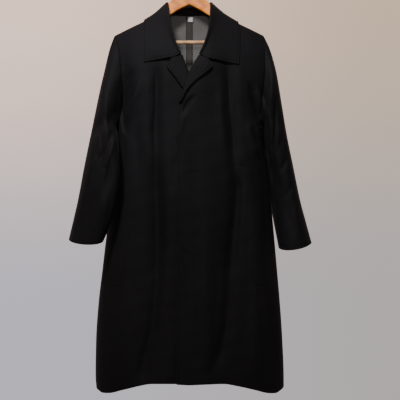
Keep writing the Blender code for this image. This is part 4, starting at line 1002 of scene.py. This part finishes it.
class Nodes:
    """Short calls for building the nodes of a material or of the world."""

    def __init__(self, look, shader="Principled BSDF"):
        self.look = look
        look.use_nodes = True
        self.tree = look.node_tree
        self.shader = self.tree.nodes[shader]

    def add(self, kind, inputs=(), **settings):
        node = self.tree.nodes.new(kind)
        for key, value in settings.items():
            setattr(node, key, value)
        for key, value in dict(inputs).items():
            self.put(node.inputs[key], value)
        return node

    def put(self, socket, value):
        if isinstance(value, bpy.types.NodeSocket):
            self.tree.links.new(value, socket)
        else:
            socket.default_value = value

    def math(self, operation, a, b=0.0, clamp=False):
        node = self.add("ShaderNodeMath", {0: a, 1: b}, operation=operation, use_clamp=clamp)
        return node.outputs[0]

    def ramp(self, fac, stops):
        node = self.add("ShaderNodeValToRGB", {"Fac": fac})
        band = node.color_ramp
        while len(band.elements) < len(stops):
            band.elements.new(0.5)
        for element, (place, colour) in zip(band.elements, stops):
            element.position = place
            element.color = (*colour, 1.0)
        return node.outputs["Color"]

    def noise(self, vector, scale, detail=3.0, roughness=0.5):
        inputs = {"Vector": vector, "Scale": scale, "Detail": detail, "Roughness": roughness}
        return self.add("ShaderNodeTexNoise", inputs).outputs["Fac"]

    def stretched(self, vector, scale):
        return self.add("ShaderNodeMapping", {"Vector": vector, "Scale": scale}).outputs[0]

    def place(self):
        return self.add("ShaderNodeTexCoord").outputs["Object"]

    def bump(self, height, strength):
        inputs = {"Height": height, "Strength": strength, "Distance": 1.0}
        return self.add("ShaderNodeBump", inputs).outputs[0]

    def times(self, a, b):
        return self.math("MULTIPLY", a, b)

    def plus(self, a, b, clamp=False):
        return self.math("ADD", a, b, clamp)

    def less(self, a, b):
        return self.math("SUBTRACT", a, b)

    def attribute(self, name):
        return self.add("ShaderNodeAttribute", attribute_name=name).outputs["Fac"]

    def band(self, value, centre, half):
        """1 at the centre, falling to 0 at the half width on both sides."""
        away = self.math("ABSOLUTE", self.math("SUBTRACT", value, centre))
        return self.math("SUBTRACT", 1.0, self.math("DIVIDE", away, half), clamp=True)

    def set(self, **values):
        for key, value in values.items():
            self.put(self.shader.inputs[key.replace("_", " ")], value)


def woven(name, dark, light, rough, sheen, thread, stitch_at, stitch_dark=0.6):
    """Plain cloth: weave and slubs in metres along the cloth, soft shade changes, stitching, seam grooves
    darkened with painted shade.
    """
    n = Nodes(bpy.data.materials.new(name))
    cloth = n.add("ShaderNodeUVMap", uv_map="cloth_metres").outputs["UV"]
    place = n.place()
    broad = n.noise(place, 3.2, 4.0, 0.55)
    fine = n.noise(place, 55.0, 3.0, 0.6)
    split = n.add("ShaderNodeSeparateXYZ", {0: cloth})
    u, v = split.outputs[0], split.outputs[1]
    warp = n.math("SINE", n.times(u, 2 * pi / thread))
    weft = n.math("SINE", n.times(v, 2 * pi / thread))
    weave = n.times(warp, weft)
    threads = n.add("ShaderNodeCombineXYZ", {0: n.times(u, 900.0), 1: n.times(v, 60.0)}).outputs[0]
    slub = n.add("ShaderNodeTexNoise", {"Vector": threads, "Scale": 1.0, "Detail": 2.0}).outputs["Fac"]
    mixed = n.plus(n.plus(n.times(broad, 0.65), n.times(fine, 0.2)), n.times(slub, 0.15))
    tint = n.ramp(mixed, [(0.36, dark), (0.64, light)])
    hem = n.attribute("hem")
    seam = n.attribute("seam")
    row = n.band(hem, stitch_at, STITCH_HALF)
    run = n.plus(u, v)
    dash = n.math("GREATER_THAN", n.math("SINE", n.times(run, 2 * pi / STITCH_STEP)), -0.45)
    stitch = n.times(n.math("GREATER_THAN", row, 0.35), dash)
    groove = n.plus(n.band(hem, stitch_at, GROOVE_HALF), n.band(seam, 0.0, GROOVE_HALF), clamp=True)
    # Painted shade: the colour is darkened by up to 22% in the seam grooves and along the hem's stitch line.
    shade = n.less(1.0, n.times(groove, 0.22))
    shade = n.times(shade, n.less(1.0, n.times(stitch, 1 - stitch_dark)))
    scaled = n.add("ShaderNodeVectorMath", {0: tint}, operation="SCALE")
    n.put(scaled.inputs["Scale"], shade)
    height = n.plus(n.times(weave, 0.00003), n.times(fine, 0.00022))
    height = n.plus(height, n.times(slub, 0.00005))
    height = n.less(height, n.times(groove, 0.00045))
    height = n.plus(height, n.times(stitch, 0.00035))
    bump = n.bump(height, 0.55)
    rough_map = n.plus(n.times(fine, 0.12), rough - 0.06)
    n.set(Base_Color=scaled.outputs[0], Roughness=rough_map, Normal=bump)
    n.set(Sheen_Weight=sheen, Sheen_Roughness=0.45, Specular_IOR_Level=0.06)
    return n.look


def wood_look(name, dark, light, rough, along):
    """Varnished wood with grain along one axis."""
    n = Nodes(bpy.data.materials.new(name))
    place = n.place()
    long_way = n.stretched(place, along)
    wander = n.noise(long_way, 1.0, 5.0, 0.6)
    inputs = {"Vector": long_way, "Scale": 0.55, "Distortion": 6.0, "Detail": 3.0}
    rings = n.add("ShaderNodeTexWave", inputs).outputs["Fac"]
    pores = n.noise(n.stretched(long_way, (1.0, 9.0, 9.0)), 3.0, 2.0)
    mixed = n.plus(n.times(rings, 0.45), n.times(wander, 0.4))
    mixed = n.plus(mixed, n.times(pores, 0.15))
    n.set(Base_Color=n.ramp(mixed, [(0.25, dark), (0.75, light)]))
    height = n.plus(n.times(rings, 0.00004), n.times(pores, 0.00006))
    bump = n.bump(height, 0.5)
    n.set(Roughness=n.plus(n.times(pores, 0.18), rough - 0.08), Normal=bump)
    n.set(Coat_Weight=0.10, Coat_Roughness=0.30, Specular_IOR_Level=0.25)
    return n.look


def steel_look(name):
    """Drawn steel wire with faint scratches along it."""
    n = Nodes(bpy.data.materials.new(name))
    place = n.place()
    scratch = n.noise(n.stretched(place, (260.0, 260.0, 60.0)), 1.0, 3.0)
    n.set(Base_Color=n.ramp(scratch, [(0.3, (0.42, 0.42, 0.43)), (0.7, (0.66, 0.66, 0.67))]), Metallic=1.0)
    bump = n.bump(n.times(scratch, 0.00005), 0.4)
    n.set(Roughness=n.plus(n.times(scratch, 0.2), 0.18), Normal=bump)
    return n.look


def plain_look(name, colour, rough, scale):
    """Matt paint of the floor, with a very faint mottle."""
    n = Nodes(bpy.data.materials.new(name))
    mottle = n.noise(n.place(), scale, 2.0)
    low = tuple(c * 0.97 for c in colour)
    n.set(Base_Color=n.ramp(mottle, [(0.3, low), (0.7, colour)]), Roughness=rough)
    return n.look

def welt_grid(panel, normals):
    """The pocket's strip on a panel, made from its points and moved out."""
    row_step = LOW_ROWS / CAD_LOW_ROWS
    column_step = (FRONT_COLUMNS - 1) / CAD_COLUMNS
    i = np.linspace(*WELT_ROWS, 90)
    share = (i - i[0]) / (i[-1] - i[0])
    j = np.linspace(*WELT_COLUMNS, 24)[None] + WELT_SLANT * share[:, None]
    i = np.broadcast_to(i[:, None], j.shape) * row_step
    j = j * column_step
    out = on_grid(normals, i, j)
    return on_grid(panel, i, j) + out * (WELT_ABOVE_FRONT + TRIM_CLOTH), out


def tape_grid(backs, normals):
    """The strip over the centre back seam, on the inner faces of both back pieces."""
    inner = {side: backs[side] - normals[side][1] * CLOTH for side in SIGN}
    columns = []
    for x in np.linspace(-TAPE_HALF, TAPE_HALF, 9):
        panel = inner["left" if x > 0 else "right"]
        point = []
        for row in panel[:-1]:
            order = np.argsort(np.abs(row[:, 0]))
            run = np.abs(row[order, 0])
            point.append((x, np.interp(abs(x), run, row[order, 1]), np.interp(abs(x), run, row[order, 2])))
        columns.append(point)
    grid = np.stack(columns, axis=1)
    out = -grid_normals(grid, 1.0)
    return grid + out * (TAPE_LIFT + TRIM_CLOTH), out


def label_grid(tape):
    """The small blank label, on the upper end of the tape."""
    level = np.linspace(LABEL_LOW_Z, LABEL_TOP_Z, 15)
    middle = tape.shape[1] // 2
    order = np.argsort(tape[:, middle, 2])
    y = np.min([np.interp(level, tape[order, k, 2], tape[order, k, 1]) for k in range(tape.shape[1])], axis=0)
    x = np.linspace(*LABEL_X, 15)
    wide, high = np.meshgrid(x, level)
    grid = np.stack([wide, np.broadcast_to(y[:, None], wide.shape), high], axis=-1)
    normal = np.broadcast_to(np.array([0.0, -1.0, 0.0]), grid.shape)
    return grid + normal * (LABEL_LIFT + LABEL_THICK), normal


def dress_cloth(node, grid, normals, thickness, looks, hems=(), seams=(), ring=False):
    """A shell in place of the solid of that name, with its cut measured on the grid."""
    thing = shell("cloth_" + node, grid, normals, thickness, looks, hems, seams, ring)
    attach(thing, "root")
    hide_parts(node)


# The coat.
wool = woven("wool", (0.0029, 0.0027, 0.0033), (0.0049, 0.0046, 0.0056), 0.72, 0.01, 0.0011, 0.006)
lining = woven("lining", (0.066, 0.0650, 0.0620), (0.089, 0.0875, 0.0840), 0.62, 0.05, 0.0008, 0.030, 0.8)
tape_look = woven("tape", (0.025, 0.024, 0.022), (0.038, 0.036, 0.033), 0.75, 0.05, 0.0012, 0.0015)
both_faces = (wool, lining)
label_look = woven("label", (0.38, 0.37, 0.355), (0.46, 0.45, 0.435), 0.7, 0.0, 0.0006, 0.0010, 0.75)

fronts = {}
backs = {}
for side, sign in SIGN.items():
    fronts[side] = front_panel(side)
    backs[side] = back_panel(side)
normals = seam_normals(fronts, backs)
for side in SIGN:
    fronts[side] = creased(fronts[side], normals[side][0], -1, FRONT_CREASES, 3)
    backs[side] = creased(backs[side], normals[side][1], 1, BACK_CREASES, 4)
normals = seam_normals(fronts, backs)
for side in SIGN:
    front, back = fronts[side], backs[side]
    front_normals, back_normals = normals[side]
    loop, loop_normals = armhole_loop(front, front_normals, back, back_normals)
    table, folds, drop = SLEEVES[side]
    sleeve, own = sleeve_grid(table, drop, folds, loop)
    least = SIGN[side] * loop[:, 0] - INWARD * np.linspace(0, 1, SLEEVE_ALONG)[:, None]
    sleeve[..., 0] = SIGN[side] * np.maximum(SIGN[side] * sleeve[..., 0], least)
    out = grid_normals(sleeve, -SIGN[side], ring=True)
    sleeve = creased(sleeve, out, -1, SLEEVE_CREASES, 5, own)
    sleeve = creased(sleeve, out, 1, (), 6, own)
    out = grid_normals(sleeve, -SIGN[side], ring=True)
    out[0] = loop_normals + out[1]
    out[0] /= np.linalg.norm(out[0], axis=1, keepdims=True)
    dress_cloth("sleeve_" + side, sleeve, out, CLOTH, both_faces, ("top",), ("low",), True)
    dress_cloth("front_" + side, front, front_normals, CLOTH, both_faces, ("start", "low"), ("end", "top"))
    dress_cloth("back_" + side, back, back_normals, CLOTH, both_faces, ("low",), ("start", "end", "top"))
    grid, out = welt_grid(front, front_normals)
    dress_cloth("pocket_welt_" + side, grid, out, TRIM_CLOTH, (wool,))
    grid = lapel_grid(side, *LAPELS[side])
    out = grid_normals(grid, -SIGN[side])
    dress_cloth("lapel_" + side, grid, out, COLLAR_CLOTH, (wool,), ("top",))

stand, leaf = collar_grids()
dress_cloth(
    "collar_stand", stand, grid_normals(stand, 1.0), COLLAR_CLOTH, (wool,), (), ("low",)
)
leaf_out = grid_normals(leaf, -1.0)
around_edge = ("top", "start", "end")
dress_cloth("collar_leaf", leaf, leaf_out, COLLAR_CLOTH, (wool,), around_edge)
tape, out = tape_grid(backs, normals)
dress_cloth("back_seam_tape", tape, out, TRIM_CLOTH, (tape_look,), ("start", "end"))
grid, out = label_grid(tape)
all_sides = ("low", "top", "start", "end")
dress_cloth("label", grid, out, LABEL_THICK, (label_look,), all_sides)

# The hanger: the same three pieces, made finer.
for node, slot, grid, look in (
    ("hanger_wood", "wood", wood_grid(),
     wood_look("hanger_varnished_wood",
               (0.37, 0.105, 0.010), (0.58, 0.185, 0.022), 0.46, (14.0, 60.0, 90.0))),
    ("hanger_bar", "wood", bar_grid(),
     wood_look("hanger_bar_wood", (0.26, 0.145, 0.068), (0.38, 0.23, 0.12), 0.50, (14.0, 70.0, 70.0))),
    ("hanger_hook", "steel", tube_grid(hook_path(), WIRE_RADIUS, 20), steel_look("hanger_steel")),
):
    body = solid_rings("fine_" + node, grid, look)
    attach(body, "root")
    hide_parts(node)

# Floor, light and camera.
FLOOR_Z = -2.05
FLOOR_RADIUS = 2.6
FLOOR_SIDES = 64
# Painted light on the wall behind: the upper left is brightest and warmest, as lit from there, and the lower
# corners are dimmer and greyer.
WALL_UPPER_LEFT = (1.42, 1.02, 0.84)
WALL_UPPER_RIGHT = (0.80, 0.60, 0.44)
WALL_LOWER_LEFT = (0.62, 0.60, 0.67)
WALL_LOWER_RIGHT = (0.53, 0.49, 0.49)
ROOM_LIGHT = 0.22
LIGHT_SPREAD = radians(110)
# The sensor, and the width it sees at the coat.
SENSOR = 36
PICTURE_WIDTH = 1.172


def add_light(name, place, aim, size, energy, colour):
    lamp = bpy.data.lights.new(name, "AREA")
    lamp.shape = "DISK"
    lamp.size = size
    lamp.energy = energy
    lamp.color = colour
    lamp.spread = LIGHT_SPREAD
    thing = linked(name, lamp)
    thing.location = place
    way = np.array(aim, float) - np.array(place, float)
    thing.rotation_mode = "QUATERNION"
    thing.rotation_quaternion = Vector(way).to_track_quat("-Z", "Y")
    return thing


def add_floor():
    mesh = bpy.data.meshes.new("floor")
    turn = np.linspace(0, 2 * pi, FLOOR_SIDES + 1)[:-1]
    rim = [(FLOOR_RADIUS * cos(a), FLOOR_RADIUS * sin(a), FLOOR_Z) for a in turn]
    mesh.from_pydata(rim, [], [range(FLOOR_SIDES)])
    mesh.materials.append(plain_look("pale_floor", (0.62, 0.60, 0.58), 0.75, 6.0))
    floor = linked("floor", mesh)


def set_backdrop():
    """Pale wall behind the coat, with painted light in its corners, brightest and warmest at the upper left
    where the light falls on the wall, and a dimmer room in front.
    """
    world = bpy.data.worlds.new("pale_backdrop")
    bpy.context.scene.world = world
    n = Nodes(world, "Background")
    split = n.add("ShaderNodeSeparateXYZ", {0: n.add("ShaderNodeTexCoord").outputs["Generated"]})

    def share(axis, low, high, to_low=0.0, to_high=1.0):
        inputs = {"From Min": low, "From Max": high, "To Min": to_low, "To Max": to_high}
        inputs["Value"] = split.outputs[axis]
        return n.add("ShaderNodeMapRange", inputs, interpolation_type="SMOOTHSTEP").outputs["Result"]

    def blend(fac, one, two):
        one, two = ((*value, 1.0) if isinstance(value, tuple) else value for value in (one, two))
        return n.add("ShaderNodeMix", {0: fac, 6: one, 7: two}, data_type="RGBA").outputs[2]

    aside = share("X", -0.22, 0.22)
    upper = blend(aside, WALL_UPPER_LEFT, WALL_UPPER_RIGHT)
    lower = blend(aside, WALL_LOWER_LEFT, WALL_LOWER_RIGHT)
    wall = blend(share("Z", -0.12, 0.24), lower, upper)
    n.set(Color=wall, Strength=share("Y", -0.1, 0.6, ROOM_LIGHT, 1.0))


add_floor()
set_backdrop()
add_light("key", (-0.45, -1.35, 1.05), (0.02, 0, -0.38), 0.35, 26.0, (1.0, 0.98, 0.97))
add_light("front", (0.1, -2.5, 0.1), (0.02, 0, -0.40), 0.5, 8.0, (1.0, 0.98, 0.97))
add_light("behind", (0.8, 2.6, 0.8), (0, 0, -0.6), 1.8, 30.0, (1.0, 0.98, 0.96))

camera = bpy.data.cameras.new("photo_view")
camera.sensor_width = SENSOR
camera.lens = SENSOR * -CAMERA_AT[1] / PICTURE_WIDTH
view = linked("photo_view", camera)
view.location = CAMERA_AT
view.rotation_euler = (pi / 2, 0, 0)
bpy.context.scene.camera = view
